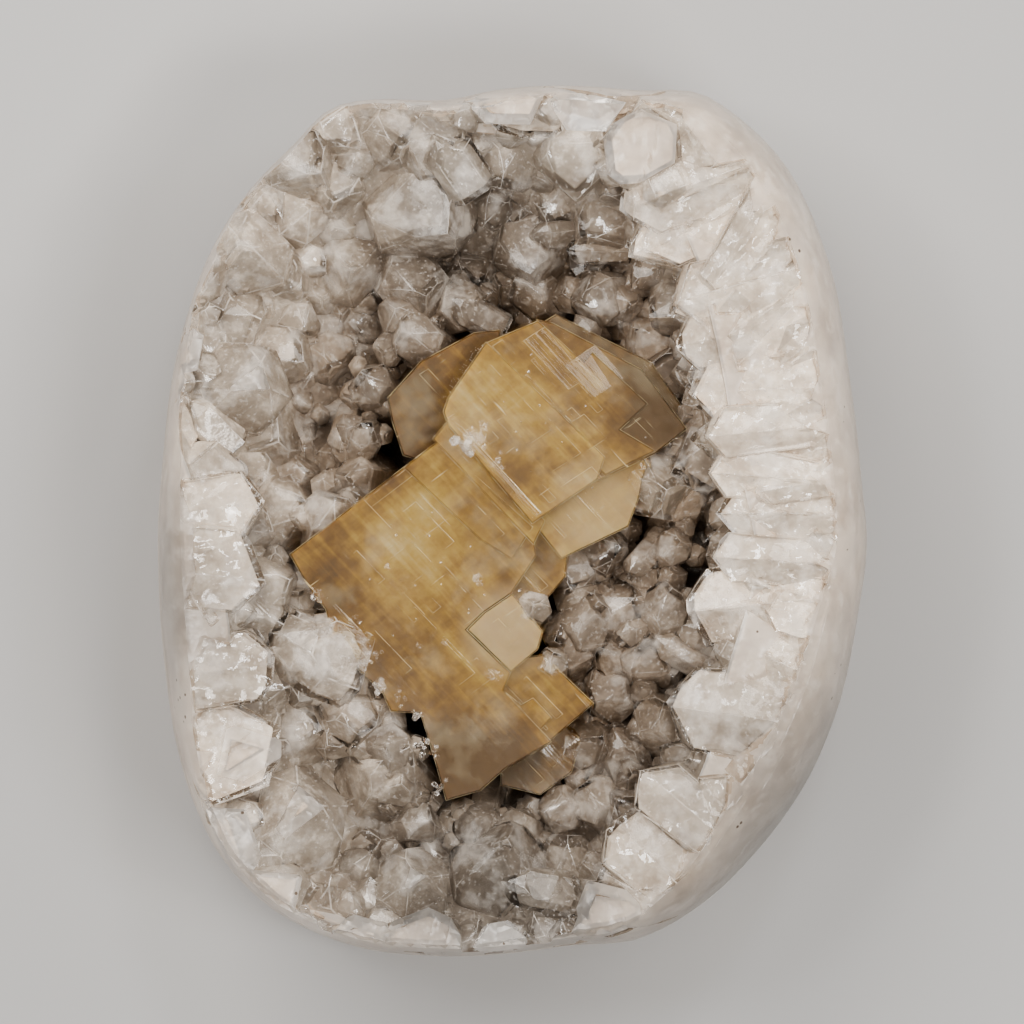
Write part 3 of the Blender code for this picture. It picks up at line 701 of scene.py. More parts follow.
def fringe_crystals(detail):
    """Crystals broken through along the front, between the hollow's rim and the ground shoulder."""
    places = []
    made = []
    for _ in range(FRINGE_TRIES):
        angle = detail.uniform(0, 360)
        broken = whole(angle) < 0.5
        outer = WALL_RINGS[-1][0] - smooth_value(BAND, angle) * (0.5 if broken else 0.0)
        share = detail.uniform(FRINGE_FROM, outer)
        flat = outline_point(angle, share)
        offset = flat - HOLLOW_CENTRE
        round_it = compass_of(offset)
        inner = smooth_value(HOLLOW, round_it, 1)
        if offset.length < inner - FRINGE_INWARDS:
            continue
        far_out = flat.x > 0 and broken and offset.length > inner + RIM_WIDE
        if far_out and detail.random() < LONG_COLUMNS:
            continue
        width = detail.uniform(*FRINGE_WIDTH)
        width *= WHOLE_LARGER if whole(angle) > 0.5 or flat.x < 0 else COLUMN_SLIMMER
        if crowded(flat, width, places, FRINGE_SPACING):
            continue
        places.append((flat, width))
        inwards = Vector((*compass(round_it + 180 + detail.uniform(-COLUMN_TURN, COLUMN_TURN), 1.0), 0.0))
        if broken:
            foot = Vector((*flat, front_height(angle) - detail.uniform(*COLUMN_DROP)))
            fronts = broken_ridge(foot, inwards, detail)
            made.append(crystal(
                foot, inwards, width, COLUMN_REACH, detail, detail, CUT_FACE_LEAN, fronts, BROKEN
            ))
        else:
            foot = Vector((*flat, front_height(angle) - width * FRINGE_LOWER - detail.uniform(*FRINGE_DROP)))
            tilt = Vector([detail.uniform(-FRINGE_TILT, FRINGE_TILT) for _ in range(3)])
            way = (inwards * FRINGE_LEAN + tilt + Vector((0, 0, 1))).normalized()
            made.append(crystal(foot, way, width, FRINGE_REACH, detail, detail))
    return made


# The calcite: how pale each step is, from 0, brown, to 1, pale, and the ledges on its faces. A ledge has the
# place of its left corner, its lengths along the crystal's two edges, and its height.
CALCITE_WEAR = 0.12
CALCITE_SKIN = 0.9
CALCITE_SIDE_SKIN = 0.35
LOWER_TONES = [0.45, 0.70, 0.34, 0.46, 0.50, 0.08, 0.38]
UPPER_TONES = [0.60, 0.50, 0.28, 0.60, 0.02, 0.10, 0.66]
LOWER_EDGES = (37.4, -46.0)
UPPER_EDGES = (33.0, -47.0)
LOWER_LEDGES = [
    ((-56.8, -7.6), 42, 2.6, 0.28), ((-44.8, 2.4), 6, 15, 0.35), ((-32.2, 0.4), 8, 15, 0.30),
    ((-24.6, -19.3), 9, 14.3, 0.32), ((-25, -35.2), 7, 13.8, 0.35), ((-21, 12), 3, 24, 0.40),
    ((-38, -14), 14, 9, 0.22), ((-19, -44), 12, 7, 0.30), ((-30, -26), 5, 22, 0.20),
]
UPPER_LEDGES = [
    ((-12, 38), 7.5, 24, 0.40), ((-3.5, 34.6), 9, 28, -0.55), ((3, 48.5), 7, 18, -0.60),
    ((-15.4, 24.6), 1.9, 32, 0.75), ((12.7, 24.5), 8, 9, 0.35), ((14, 42), 10, 12, -1.60),
    ((-1, 22), 12, 14, 0.25), ((8, 6), 16, 4, 0.50),
]
# Patches of small quartz bits on the calcite: the middle, how far they scatter, their count, face and width.
CRUMB_PATCHES = [
    ((-10, 21.5), 1.9, 26, UPPER_PLANE, 2.6), ((-4.5, 16), 1, 9, UPPER_PLANE, 1.6),
    ((-33.5, -11.8), 0.5, 3, LOWER_PLANE, 1.7), ((-8.9, -16.2), 0.3, 2, LOWER_PLANE, 2.2),
    ((-4.9, -41.3), 0.7, 5, LOWER_PLANE, 2.4), ((-25.5, -33.5), 0.4, 2, LOWER_PLANE, 1.6),
    ((-18, -33.3), 0.4, 2, LOWER_PLANE, 1.6), ((-20, -12), 14, 22, LOWER_PLANE, 0.55),
    ((10, 30), 12, 18, UPPER_PLANE, 0.55), ((-42, -27.5), 1.2, 6, LOWER_PLANE, 1.3),
    ((-38, -36), 1.2, 6, LOWER_PLANE, 1.3), ((-30, -48.5), 1.4, 7, LOWER_PLANE, 1.3),
    ((-52.5, -19.5), 1.2, 7, LOWER_PLANE, 1.5), ((-48, -30.5), 1.3, 9, LOWER_PLANE, 1.6),
    ((-36, -43.5), 1.2, 9, LOWER_PLANE, 1.6), ((-25.5, -52.5), 1, 6, LOWER_PLANE, 1.4),
    ((-22.5, -60.5), 1.4, 9, LOWER_PLANE, 1.6), ((-19, -70.5), 1.2, 6, LOWER_PLANE, 1.4),
]
CRUMB_SIZES = (0.5, 1.2)
CRUMB_TILT = 0.7
CRUMB_SUNK = 0.1
LEDGE_DEPTH = 2.5
LEDGE_TILT = 1.6
BRIDGE = (-3.2, 22.0, [(-4.0, -8.0), (6.0, 2.0), (15.0, -9.0), (14.5, -15.0), (9.0, -21.5), (0.0, -24.0)])
LEDGE_COUNT = 22
LEDGE_ALONG = (0.7, 4.0)
LEDGE_ACROSS = (5.0, 22.0)
LEDGE_RISE = (0.08, 0.35)
LEDGE_INSET = 0.4


def collected(name, objects):
    """The objects in a collection of their own, as cutters or members of a join."""
    group = bpy.data.collections.new(name)
    bpy.context.scene.collection.children.link(group)
    for obj in objects:
        bpy.context.scene.collection.objects.unlink(obj)
        group.objects.link(obj)
    return group


def combine(base, operation, others):
    """Joins, cuts or trims an object with another or with a whole collection, which then goes."""
    modifier = base.modifiers.new(operation.title(), "BOOLEAN")
    modifier.operation = operation
    modifier.solver = "MANIFOLD"
    if isinstance(others, bpy.types.Collection):
        modifier.operand_type = "COLLECTION"
        modifier.collection = others
        used = list(others.objects)
    else:
        modifier.object = others
        used = [others]
    graph = bpy.context.evaluated_depsgraph_get()
    mesh = bpy.data.meshes.new_from_object(base.evaluated_get(graph))
    base.modifiers.clear()
    base.data = mesh
    for obj in used:
        bpy.data.objects.remove(obj)
    if isinstance(others, bpy.types.Collection):
        bpy.data.collections.remove(others)


def marked(obj, kind):
    """Gives all faces of an object the crystals' face values, so that a join keeps them."""
    for name, value in (("tone", 0.5), ("facet", 0.5), ("edge", 0.0), ("sort", kind)):
        values = obj.data.attributes.new(name, "FLOAT", "FACE")
        values.data.foreach_set("value", [value] * len(obj.data.polygons))
    return obj


def largest_piece(obj):
    """Keeps only the largest connected body."""
    shape = bmesh.new()
    shape.from_mesh(obj.data)
    left = set(shape.verts)
    pieces = []
    while left:
        piece, edge = set(), [left.pop()]
        while edge:
            corner = edge.pop()
            piece.add(corner)
            for link in corner.link_edges:
                other = link.other_vert(corner)
                if other in left:
                    left.remove(other)
                    edge.append(other)
        pieces.append(piece)
    pieces.sort(key=len)
    bmesh.ops.delete(shape, geom=[corner for piece in pieces[:-1] for corner in piece], context="VERTS")
    shape.to_mesh(obj.data)
    shape.free()


def roughened(obj):
    """Gives the broken fronts their uneven, flaky surface, and all else on them its fine steps."""
    shape = bmesh.new()
    shape.from_mesh(obj.data)
    sort = shape.faces.layers.float["sort"]

    def natural(at):
        return whole(compass_of(at)) > 0.5

    def broken(face):
        middle = face.calc_center_median()
        level = LEVEL_NATURAL if natural(middle) else LEVEL_BROKEN
        return face[sort] > OVER_WHOLE and face.normal.z > level and middle.z > BROKEN_FROM * MM

    def in_triangles():
        bmesh.ops.triangulate(shape, faces=[face for face in shape.faces if broken(face)])

    for longest in SPLIT_LENGTHS:
        in_triangles()
        edges = [edge for edge in shape.edges
                 if edge.calc_length() > longest * MM and all(broken(face) for face in edge.link_faces)]
        bmesh.ops.subdivide_edges(shape, edges=edges, cuts=1)
    in_triangles()
    moves = {}
    for corner in shape.verts:
        if corner.link_faces and all(broken(face) for face in corner.link_faces):
            at = corner.co / MM
            ground = all(face[sort] > OVER_BROKEN for face in corner.link_faces) and not natural(at)
            flakes = noise.noise(at / FLAKE_WIDTH, noise_basis="VORONOI_F1") - 0.4
            grain = noise.fractal(at / GRAIN_WIDTH, 0.8, 2.0, 3)
            move = flakes * FLAKE_DEPTH + grain * GRAIN_DEPTH - FLAKES_LOWER
            moves[corner] = move * (GROUND_FLAKES if ground else 1.0)
    shape.normal_update()
    for corner, move in moves.items():
        corner.co += corner.normal * min(move, 0.0) * MM
    shape.to_mesh(obj.data)
    shape.free()


def smoothed(obj, degrees):
    obj.data.shade_smooth()
    obj.data.set_sharp_from_angle(angle=math.radians(degrees))


def grown_rock(name, crystals, inset, seat):
    """The ground block less its hollow, with crystals grown into it and ground flush with its outside."""
    rock = marked(block(name, True, inset), GROUND)
    combine(rock, "DIFFERENCE", marked(hollow_solid("hollow", seat), WHOLE))
    combine(rock, "UNION", collected("crystals", crystals))
    combine(rock, "INTERSECT", marked(block("ground", False, inset), GROUND))
    largest_piece(rock)
    roughened(rock)
    smoothed(rock, QUARTZ_SHARP)
    return rock


def build_quartz():
    """The whole quartz in two: its clear skin, and the cloudy inside that shows through it."""
    detail = random.Random(DETAIL_SEED)
    pairs, lining = main_crystals(detail)
    pairs += fill_crystals(lining, detail)
    pairs += raised_crystals(detail)
    pairs += fringe_crystals(detail)
    pairs += glint_crystals(detail)
    clear = [pair[0] for pair in pairs if pair]
    cloudy = [pair[1] for pair in pairs if len(pair) > 1]
    skin = grown_rock("quartz_rock", clear, 0.0, SHEET_START + SHEET_THICKNESS)
    core = grown_rock("cloudy_quartz", cloudy, SKIN, SHEET_START + SHEET_THICKNESS - SKIN)
    return skin, core


def cleavage_ledge(edges, ledge, side=0):
    """A thin plate on a calcite face, as a step: its outline runs along the crystal's two edges.

    It is tilted, so that it stands proud on one side and dips under the face on the other. Side 0 is the
    right one.
    """
    (x, y), along, across, rise = ledge
    start = Vector((x, y))
    up, down = (compass(edge, reach) for edge, reach in zip(edges, (along, across)))
    tilt = (up / along**2, -up / along**2, down / across**2, -down / across**2)[side] * rise * LEDGE_TILT
    foot = rise if side % 2 else rise * (1 - LEDGE_TILT)
    outline = [tuple(corner) for corner in (start, start + up, start + up + down, start + down)]
    return foot, LEDGE_DEPTH, outline, tilt


def small_ledges(steps, edges, count, chance):
    """Plates scattered over the crystal's steps, each lying wholly on one of them."""
    made = []
    while len(made) < count:
        rise, outline = chance.choice([(step[0], step[2]) for step in steps])
        corner = Vector(outline[0]).lerp(Vector(chance.choice(outline)), chance.random())
        corner = corner.lerp(Vector(chance.choice(outline)), chance.random())
        along, across = chance.uniform(*LEDGE_ALONG), chance.uniform(*LEDGE_ACROSS)
        proud = chance.uniform(*LEDGE_RISE)
        ledge = (corner, along, across, proud)
        foot, depth, corners, tilt = cleavage_ledge(edges, ledge, chance.randrange(4))
        plate = (rise + foot, depth, corners, tilt)
        if all(inside_outline(Vector(point), grown(outline, -LEDGE_INSET)) for point in plate[2]):
            made.append(plate)
    return made


def grown_together(name, members):
    first, *others = members
    first.name = name
    combine(first, "UNION", collected(name, others))
    smoothed(first, CALCITE_SHARP)
    return first


def calcite_crystal(plane, lean, steps, tones, ledges, edges, detail):
    """One calcite crystal: its steps and ledges, clear outside, and the cloudy steps within them."""
    clear, cloudy = [], []
    plates = [cleavage_ledge(edges, ledge) for ledge in ledges]
    plates += small_ledges(steps, edges, LEDGE_COUNT, detail)
    for step, tone in zip(steps + plates, tones + [0.6] * len(plates)):
        clear.append(worn_step(plane, lean, step, tone, detail))
    for (rise, depth, outline), tone in zip(steps, tones):
        inner = (rise - CALCITE_SKIN, depth - 2 * CALCITE_SKIN, grown(outline, -CALCITE_SIDE_SKIN))
        cloudy.append(worn_step(plane, lean, inner, tone, detail))
    return clear, cloudy


def worn_step(plane, lean, step, tone, detail):
    """A calcite step with its edges worn and its faces' values set."""
    plain = calcite_step("step", plane, lean, step)
    shape = bmesh.new()
    shape.from_mesh(plain.data)
    bpy.data.objects.remove(plain)
    bmesh.ops.scale(shape, vec=(1 / MM, 1 / MM, 1 / MM), verts=shape.verts)
    return faced(shape, Matrix(), CALCITE_WEAR, tone, WHOLE, detail)


def build_calcite():
    """The two calcite crystals grown into each other: their clear outside and their cloudy inside."""
    detail = random.Random(DETAIL_SEED + 2)
    lower = calcite_crystal(
        LOWER_PLANE, LOWER_LEAN, LOWER_STEPS + [BRIDGE], LOWER_TONES, LOWER_LEDGES, LOWER_EDGES, detail
    )
    upper = calcite_crystal(
        UPPER_PLANE, UPPER_LEAN, UPPER_STEPS, UPPER_TONES, UPPER_LEDGES, UPPER_EDGES, detail
    )
    pair = []
    for name, members in zip(("honey_calcite", "cloudy_calcite"), zip(lower, upper)):
        pair.append(grown_together(name, members[0] + members[1]))
    return pair


def build_perched():
    """The points that grew on the calcite."""
    chance = random.Random(POINT_SEED + 1)
    detail = random.Random(DETAIL_SEED + 1)
    made = []
    for number, (foot, way, width) in enumerate(PERCHED_POINTS, 1):
        clear, cloudy = crystal(foot, way, width, PERCHED_ROOT, chance, detail)
        clear.name = f"clear_quartz_{number}"
        cloudy.name = f"cloudy_core_{number}"
        made.append((clear, cloudy))
    return made


def build_crumbs():
    """Small bits of quartz that grew or lie on the calcite, each sunk a little into it."""
    detail = random.Random(DETAIL_SEED + 3)
    bits = []
    for middle, spread, count, plane, width in CRUMB_PATCHES:
        for _ in range(count):
            x, y = (value + detail.gauss(0, spread) for value in middle)
            size = width * detail.uniform(*CRUMB_SIZES)
            foot = Vector((x, y, plane.z + plane.x * x + plane.y * y - size * CRUMB_SUNK))
            tilt = [detail.uniform(-CRUMB_TILT, CRUMB_TILT) for _ in range(2)]
            way = Vector((*tilt, 1)).normalized()
            bits += crystal(foot, way, size, size, detail, detail, cored=False)
    return grown_together("quartz_crumbs", bits)


# Materials.


class Graph:
    """A material's nodes, added and linked in one call each."""

    def __init__(self, name):
        self.material = bpy.data.materials.new(name)
        self.material.use_nodes = True
        self.tree = self.material.node_tree
        self.shader = self.tree.nodes["Principled BSDF"]

    def node(self, kind, inputs=None, **settings):
        made = self.tree.nodes.new(f"ShaderNode{kind}")
        for name, value in settings.items():
            setattr(made, name, value)
        for name, value in (inputs or {}).items():
            self.put(made.inputs[name], value)
        return made

    def put(self, socket, value):
        if isinstance(value, bpy.types.NodeSocket):
            self.tree.links.new(value, socket)
        else:
            socket.default_value = value

    def face_value(self, name):
        return self.node("Attribute", attribute_name=name).outputs["Fac"]

    def noise(self, scale, detail=4.0, roughness=0.5, vector=None):
        inputs = {"Scale": scale, "Detail": detail, "Roughness": roughness, "Vector": vector or self.place}
        return self.node("TexNoise", inputs).outputs["Fac"]

    def cells(self, scale):
        """The distance to the nearest of many scattered points."""
        return self.node("TexVoronoi", {"Vector": self.place, "Scale": scale}).outputs["Distance"]

    @property
    def place(self):
        return self.node("TexCoord").outputs["Object"]

    def maths(self, operation, first, second=0.0, clamp=False):
        made = self.node("Math", operation=operation, use_clamp=clamp)
        self.put(made.inputs[0], first)
        self.put(made.inputs[1], second)
        return made.outputs[0]

    def spread(self, value, low, high, to_low=0.0, to_high=1.0):
        made = self.node("MapRange", {"From Min": low, "From Max": high, "To Min": to_low, "To Max": to_high})
        self.put(made.inputs["Value"], value)
        return made.outputs["Result"]

    def mixed(self, share, first, second, blend="MIX"):
        made = self.node("Mix", data_type="RGBA", blend_type=blend)
        self.put(made.inputs[0], share)
        self.put(made.inputs[6], first)
        self.put(made.inputs[7], second)
        return made.outputs[2]

    def bump(self, height, strength, distance, before=None):
        made = self.node("Bump", {"Strength": strength, "Distance": distance})
        self.put(made.inputs["Height"], height)
        if before:
            self.put(made.inputs["Normal"], before)
        return made.outputs["Normal"]

    def scaled(self, colour, share):
        return self.node("VectorMath", {0: colour, "Scale": share}, operation="SCALE").outputs[0]

    def distance(self, middle):
        """How far away a point is, whose place is given in millimetres."""
        apart = self.node("VectorMath", {0: self.place, 1: Vector(middle) * MM}, operation="DISTANCE")
        return apart.outputs["Value"]

    def shaded(self, inputs):
        """Sets or links the shader's inputs, and gives the material."""
        for name, value in inputs.items():
            self.put(self.shader.inputs[name], value)
        return self.material


QUARTZ_IOR = 1.54
CALCITE_IOR = 1.6
# The deep zone of the hollow, in metres: the heights and the distances from its middle at which it starts and
# is full, that middle, and how far its distances count along each axis. The quartz is painted darker there,
# partly for its own smoky grey-brown and partly as painted shade.
DEEP_BELOW = (0.090, 0.060)
DEEP_WITHIN = (0.088, 0.052)
DEEP_MIDDLE = Vector((12.0, 4.0, 0.0)) * MM
DEEP_OVAL = (1.0, 0.85, 0.0)


def deep_tone_and_shade(graph):
    """How far into the hollow a place is, from 0 to 1, by its height and its distance from the middle. It
    darkens the quartz: partly its smoky tone, partly painted shade.
    """
    height = graph.node("SeparateXYZ", {"Vector": graph.place}).outputs["Z"]
    low = graph.spread(height, *DEEP_BELOW)
    apart = graph.node("VectorMath", {0: graph.place, 1: DEEP_MIDDLE}, operation="SUBTRACT").outputs["Vector"]
    flat = graph.node("VectorMath", {0: apart, 1: DEEP_OVAL}, operation="MULTIPLY").outputs["Vector"]
    reach = graph.node("VectorMath", {0: flat}, operation="LENGTH").outputs["Value"]
    return graph.maths("MULTIPLY", low, graph.spread(reach, *DEEP_WITHIN, 0.25, 1.0))


# Painted shade on the quartz: spots painted darker where it lies in shade, such as the lower right side that
# faces away from the key light, the bottom, the left side and the hollow's top under the rim. Each has its
# middle in millimetres, the distances in metres within which it is full and at which it ends, and how bright
# its middle is. The clear skin follows the first few of them, to this power.
PAINTED_SHADE_SPOTS = [
    ((84, -88, 60), 0.012, 0.075, 0.30), ((-14, -98, 84), 0.014, 0.048, 0.56),
    ((-94, -20, 84), 0.010, 0.042, 0.52), ((-8, 76, 70), 0.014, 0.044, 0.54),
    ((-76, -50, 86), 0.006, 0.026, 0.85), ((26, -24, 62), 0.014, 0.036, 0.92),
    ((-78, -94, 88), 0.006, 0.028, 0.72), ((12, -114, 90), 0.010, 0.040, 0.62),
]
SKIN_SHADE_POWER = 0.5
SKIN_SHADE_SPOTS = 3


def painted_shade(graph, count=None):
    """How bright the quartz is painted, as a share, at its spots of painted shade, or at the first few of
    them.
    """
    bright = 1.0
    for centre, near, far, share in PAINTED_SHADE_SPOTS[:count]:
        bright = graph.maths("MULTIPLY", bright, graph.spread(graph.distance(centre), near, far, share, 1.0))
    return bright


# The clear skin's glass and its cream flaws, each at the rim and deep in the hollow, where they are darker
# partly for the quartz's smoky tone and partly as painted shade, and its small pits.
SKIN_TINTS = [(0.98, 0.955, 0.925, 1), (0.86, 0.78, 0.69, 1)]
SKIN_CREAMS = [(0.78, 0.69, 0.585, 1), (0.34, 0.275, 0.21, 1)]
PIT_COLOUR = (0.16, 0.12, 0.09, 1)


def skin_material():
    """The quartz's clear skin: glassy crystal faces with cream worn edges, matt where it is ground."""
    graph = Graph("clear_quartz")
    ground = graph.maths("GREATER_THAN", graph.face_value("sort"), OVER_BROKEN)
    worn = graph.maths("MULTIPLY", graph.face_value("edge"), graph.maths("SUBTRACT", 1.0, ground))
    # Veils and dust in the glass, worn edges, frost on the ground faces, and pits in them: all are milky.
    veil = graph.spread(graph.noise(95.0, 3.0, 0.66), 0.52, 0.70, 0.0, 0.50)
    dust = graph.spread(graph.noise(950.0, 1.0, 0.5), 0.60, 0.76, 0.0, 0.42)
    veil = graph.maths("MAXIMUM", veil, dust)
    patchy = graph.spread(graph.noise(260.0, 0.0, 0.5), 0.35, 0.65)
    deep = deep_tone_and_shade(graph)
    shown = graph.maths("MULTIPLY", patchy, graph.spread(deep, 0, 1, 0.7, 0.12))
    milky = graph.maths("MAXIMUM", veil, graph.maths("MULTIPLY", worn, shown))
    patches = graph.noise(55.0, 2.0, 0.65)
    frost = graph.spread(patches, 0.35, 0.65, 0.12, 0.38)
    milky = graph.maths("MAXIMUM", milky, graph.maths("MULTIPLY", ground, frost))
    # The glass and flaws are darker deep in the hollow: partly the quartz's smoky tone, partly painted shade.
    tint = graph.mixed(deep, *SKIN_TINTS)
    cream = graph.mixed(deep, *SKIN_CREAMS)
    pits = graph.maths("MULTIPLY", graph.maths("LESS_THAN", graph.cells(230.0), 0.11), ground)
    pits = graph.maths("MULTIPLY", pits, graph.maths("GREATER_THAN", patches, 0.57))
    milky = graph.maths("MAXIMUM", milky, pits)
    cream = graph.mixed(pits, cream, PIT_COLOUR)
    # Painted shade, softened, at the first few shade spots.
    bright = graph.maths("POWER", painted_shade(graph, SKIN_SHADE_SPOTS), SKIN_SHADE_POWER)
    rough = graph.maths("ADD", graph.spread(graph.face_value("facet"), 0, 1, 0.02, 0.14),
                        graph.maths("MULTIPLY", milky, 0.25))
    hills = graph.bump(graph.noise(130.0, 0.0, 0.5), 0.35, 0.0006)
    return graph.shaded({
        "Base Color": graph.scaled(graph.mixed(milky, tint, cream), bright),
        "Transmission Weight": graph.maths("SUBTRACT", 1.0, milky),
        "Roughness": graph.node("Mix", {0: ground, 2: rough, 3: 0.30}).outputs[0],
        "Normal": graph.bump(graph.noise(700.0, 1.0, 0.6), 0.25, 0.0002, hills),
        "IOR": QUARTZ_IOR,
    })


# The cloudy quartz's colours from low to high: at the rim, then deep in the hollow, where they are darker
# partly for the quartz's smoky tone and partly as painted shade. Whole crystals are darker at the rim by
# these shares, the ground outside has a tint, and white flaws are duller deep in the hollow, by the same
# partly painted shade.
MILKY_TONES = [(0.51, 0.42, 0.335), (0.87, 0.765, 0.645), (0.105, 0.072, 0.048), (0.24, 0.176, 0.122)]
SMOKY_TONES = [(0.34, 0.28, 0.22), (0.58, 0.50, 0.41), (0.24, 0.19, 0.14), (0.42, 0.34, 0.26)]
WHOLE_DARKER = (0.62, 0.66)
GROUND_TINT = (0.93, 0.865, 0.80, 1)
FLAW_TONES = [(0.92, 0.84, 0.75, 1), (0.42, 0.345, 0.28, 1)]


def core_material(name, pale_low, pale_high, deep_low, deep_high):
    """Cloudy quartz: milky at the rim, darker deep in the hollow, partly its smoky tone and partly painted
    shade, with white flaws in it and spots of painted shade.
    """
    graph = Graph(name)
    deep = deep_tone_and_shade(graph)
    cloud = graph.spread(graph.noise(85.0, 4.0, 0.72), 0.36, 0.64)
    flaw = graph.spread(graph.noise(170.0, 3.0, 0.70), 0.54, 0.68, 0.0, 0.55)
    pale = graph.mixed(cloud, (*pale_low, 1), (*pale_high, 1))
    grey = graph.mixed(cloud, (*deep_low, 1), (*deep_high, 1))
    whole_one = graph.maths("LESS_THAN", graph.face_value("sort"), OVER_WHOLE)
    tones = zip((pale_low, pale_high), WHOLE_DARKER)
    darker = [(*[value * share for value in tone], 1) for tone, share in tones]
    pale = graph.mixed(whole_one, pale, graph.mixed(cloud, *darker))
    # Darker deep in the hollow: partly the quartz's smoky tone, partly painted shade.
    body = graph.mixed(deep, pale, grey)
    ground = graph.maths("GREATER_THAN", graph.face_value("sort"), OVER_BROKEN)
    body = graph.mixed(ground, body, GROUND_TINT, "MULTIPLY")
    body = graph.mixed(flaw, body, graph.mixed(deep, *FLAW_TONES))
    tone = graph.spread(graph.face_value("tone"), 0, 1, 0.78, 1.12)
    tone = graph.maths("MULTIPLY", tone, graph.spread(graph.face_value("facet"), 0, 1, 0.84, 1.14))
    # Painted shade at the shade spots.
    tone = graph.maths("MULTIPLY", tone, painted_shade(graph))
    return graph.shaded({
        "Base Color": graph.scaled(body, tone),
        "Roughness": 0.6,
        "Normal": graph.bump(graph.noise(240.0, 1.0, 0.65), 0.35, 0.0007),
    })


# Where the calcite's colour shifts: the middle of each zone, its radius, and how much paler or browner it is.
CALCITE_ZONES = [
    ((-31, -6, 82), 20, 0.32), ((-35, 12, 84), 7, -0.45), ((-20, 8, 84), 9, 0.15),
    ((-12, -66, 80), 26, -0.85), ((-30, -42, 82), 15, -0.32), ((0.8, 10.5, 86), 8, -0.25),
    ((40, 32, 82), 20, -0.65), ((2, 34, 86), 13, 0.25), ((8, -46, 80), 9, 0.15),
    ((-52, -20, 82), 12, -0.30), ((-2, -8, 82), 9, -0.15), ((-28, 36, 78), 14, -0.25),
]
# Where it is grey-tan: the middle, the radius, and the share.
GREY_TAN_SPOTS = [
    ((-1, -30, 84), 15, 0.75), ((24, 2, 80), 18, 0.50), ((44, 8, 76), 14, 0.50),
]
GREY_TAN = (0.41, 0.32, 0.215, 1)
# Its colours from brown to pale, and which way its cleavage runs over it, in degrees.
CALCITE_RAMP = [
    (0.0, (0.078, 0.037, 0.006, 1)), (0.25, (0.138, 0.070, 0.011, 1)), (0.5, (0.24, 0.143, 0.028, 1)),
    (0.75, (0.345, 0.238, 0.066, 1)), (1.0, (0.41, 0.325, 0.160, 1)),
]
CLEAVAGE, CROSS_CLEAVAGE = -47.0, 36.0


def streaks(graph, degrees, along, across, low, high):
    """Long thin marks that run one way over the calcite."""
    turned = graph.node("VectorRotate", {"Vector": graph.place, "Angle": math.radians(-degrees)},
                        rotation_type="Z_AXIS").outputs["Vector"]
    drawn_out = graph.node("VectorMath", operation="MULTIPLY")
    graph.put(drawn_out.inputs[0], turned)
    drawn_out.inputs[1].default_value = (along, across, across * 0.3)
    return graph.spread(graph.noise(1.0, 2.0, 0.6, drawn_out.outputs[0]), low, high)


def calcite_inside_material():
    """Cloudy honey calcite, browner at its ends, with pale veils that run along its cleavage."""
    graph = Graph("cloudy_calcite")
    shift = graph.spread(graph.noise(26.0, 3.0, 0.6), 0.3, 0.7, -0.30, 0.24)
    fine = graph.spread(graph.noise(160.0, 3.0, 0.7), 0.3, 0.7, -0.18, 0.14)
    shade = graph.maths("ADD", graph.maths("ADD", graph.face_value("tone"), shift), fine)
    for centre, radius, change in CALCITE_ZONES:
        near = graph.spread(graph.distance(centre), radius * MM, 0.0)
        shade = graph.maths("ADD", shade, graph.maths("MULTIPLY", near, change))
    veils = streaks(graph, CLEAVAGE, 45.0, 420.0, 0.50, 0.72)
    shade = graph.maths("ADD", shade, graph.maths("MULTIPLY", veils, 0.22))
    crossing = streaks(graph, CROSS_CLEAVAGE, 60.0, 300.0, 0.50, 0.68)
    shade = graph.maths("SUBTRACT", shade, graph.maths("MULTIPLY", crossing, 0.10), clamp=True)
    ramp = graph.node("ValToRGB", {"Fac": shade})
    while len(ramp.color_ramp.elements) < len(CALCITE_RAMP):
        ramp.color_ramp.elements.new(0.5)
    for element, (position, colour) in zip(ramp.color_ramp.elements, CALCITE_RAMP):
        element.position = position
        element.color = colour
    colour = ramp.outputs["Color"]
    for centre, radius, share in GREY_TAN_SPOTS:
        near = graph.spread(graph.distance(centre), radius * MM, radius * MM / 2, 0.0, share)
        colour = graph.mixed(near, colour, GREY_TAN)
    return graph.shaded({
        "Base Color": colour,
        "Roughness": 0.5,
        "Subsurface Weight": 0.7,
        "Subsurface Radius": (1.0, 0.6, 0.25),
        "Subsurface Scale": 0.006,
        "Normal": graph.bump(graph.noise(90.0, 2.0, 0.6), 0.5, 0.0015),
    })


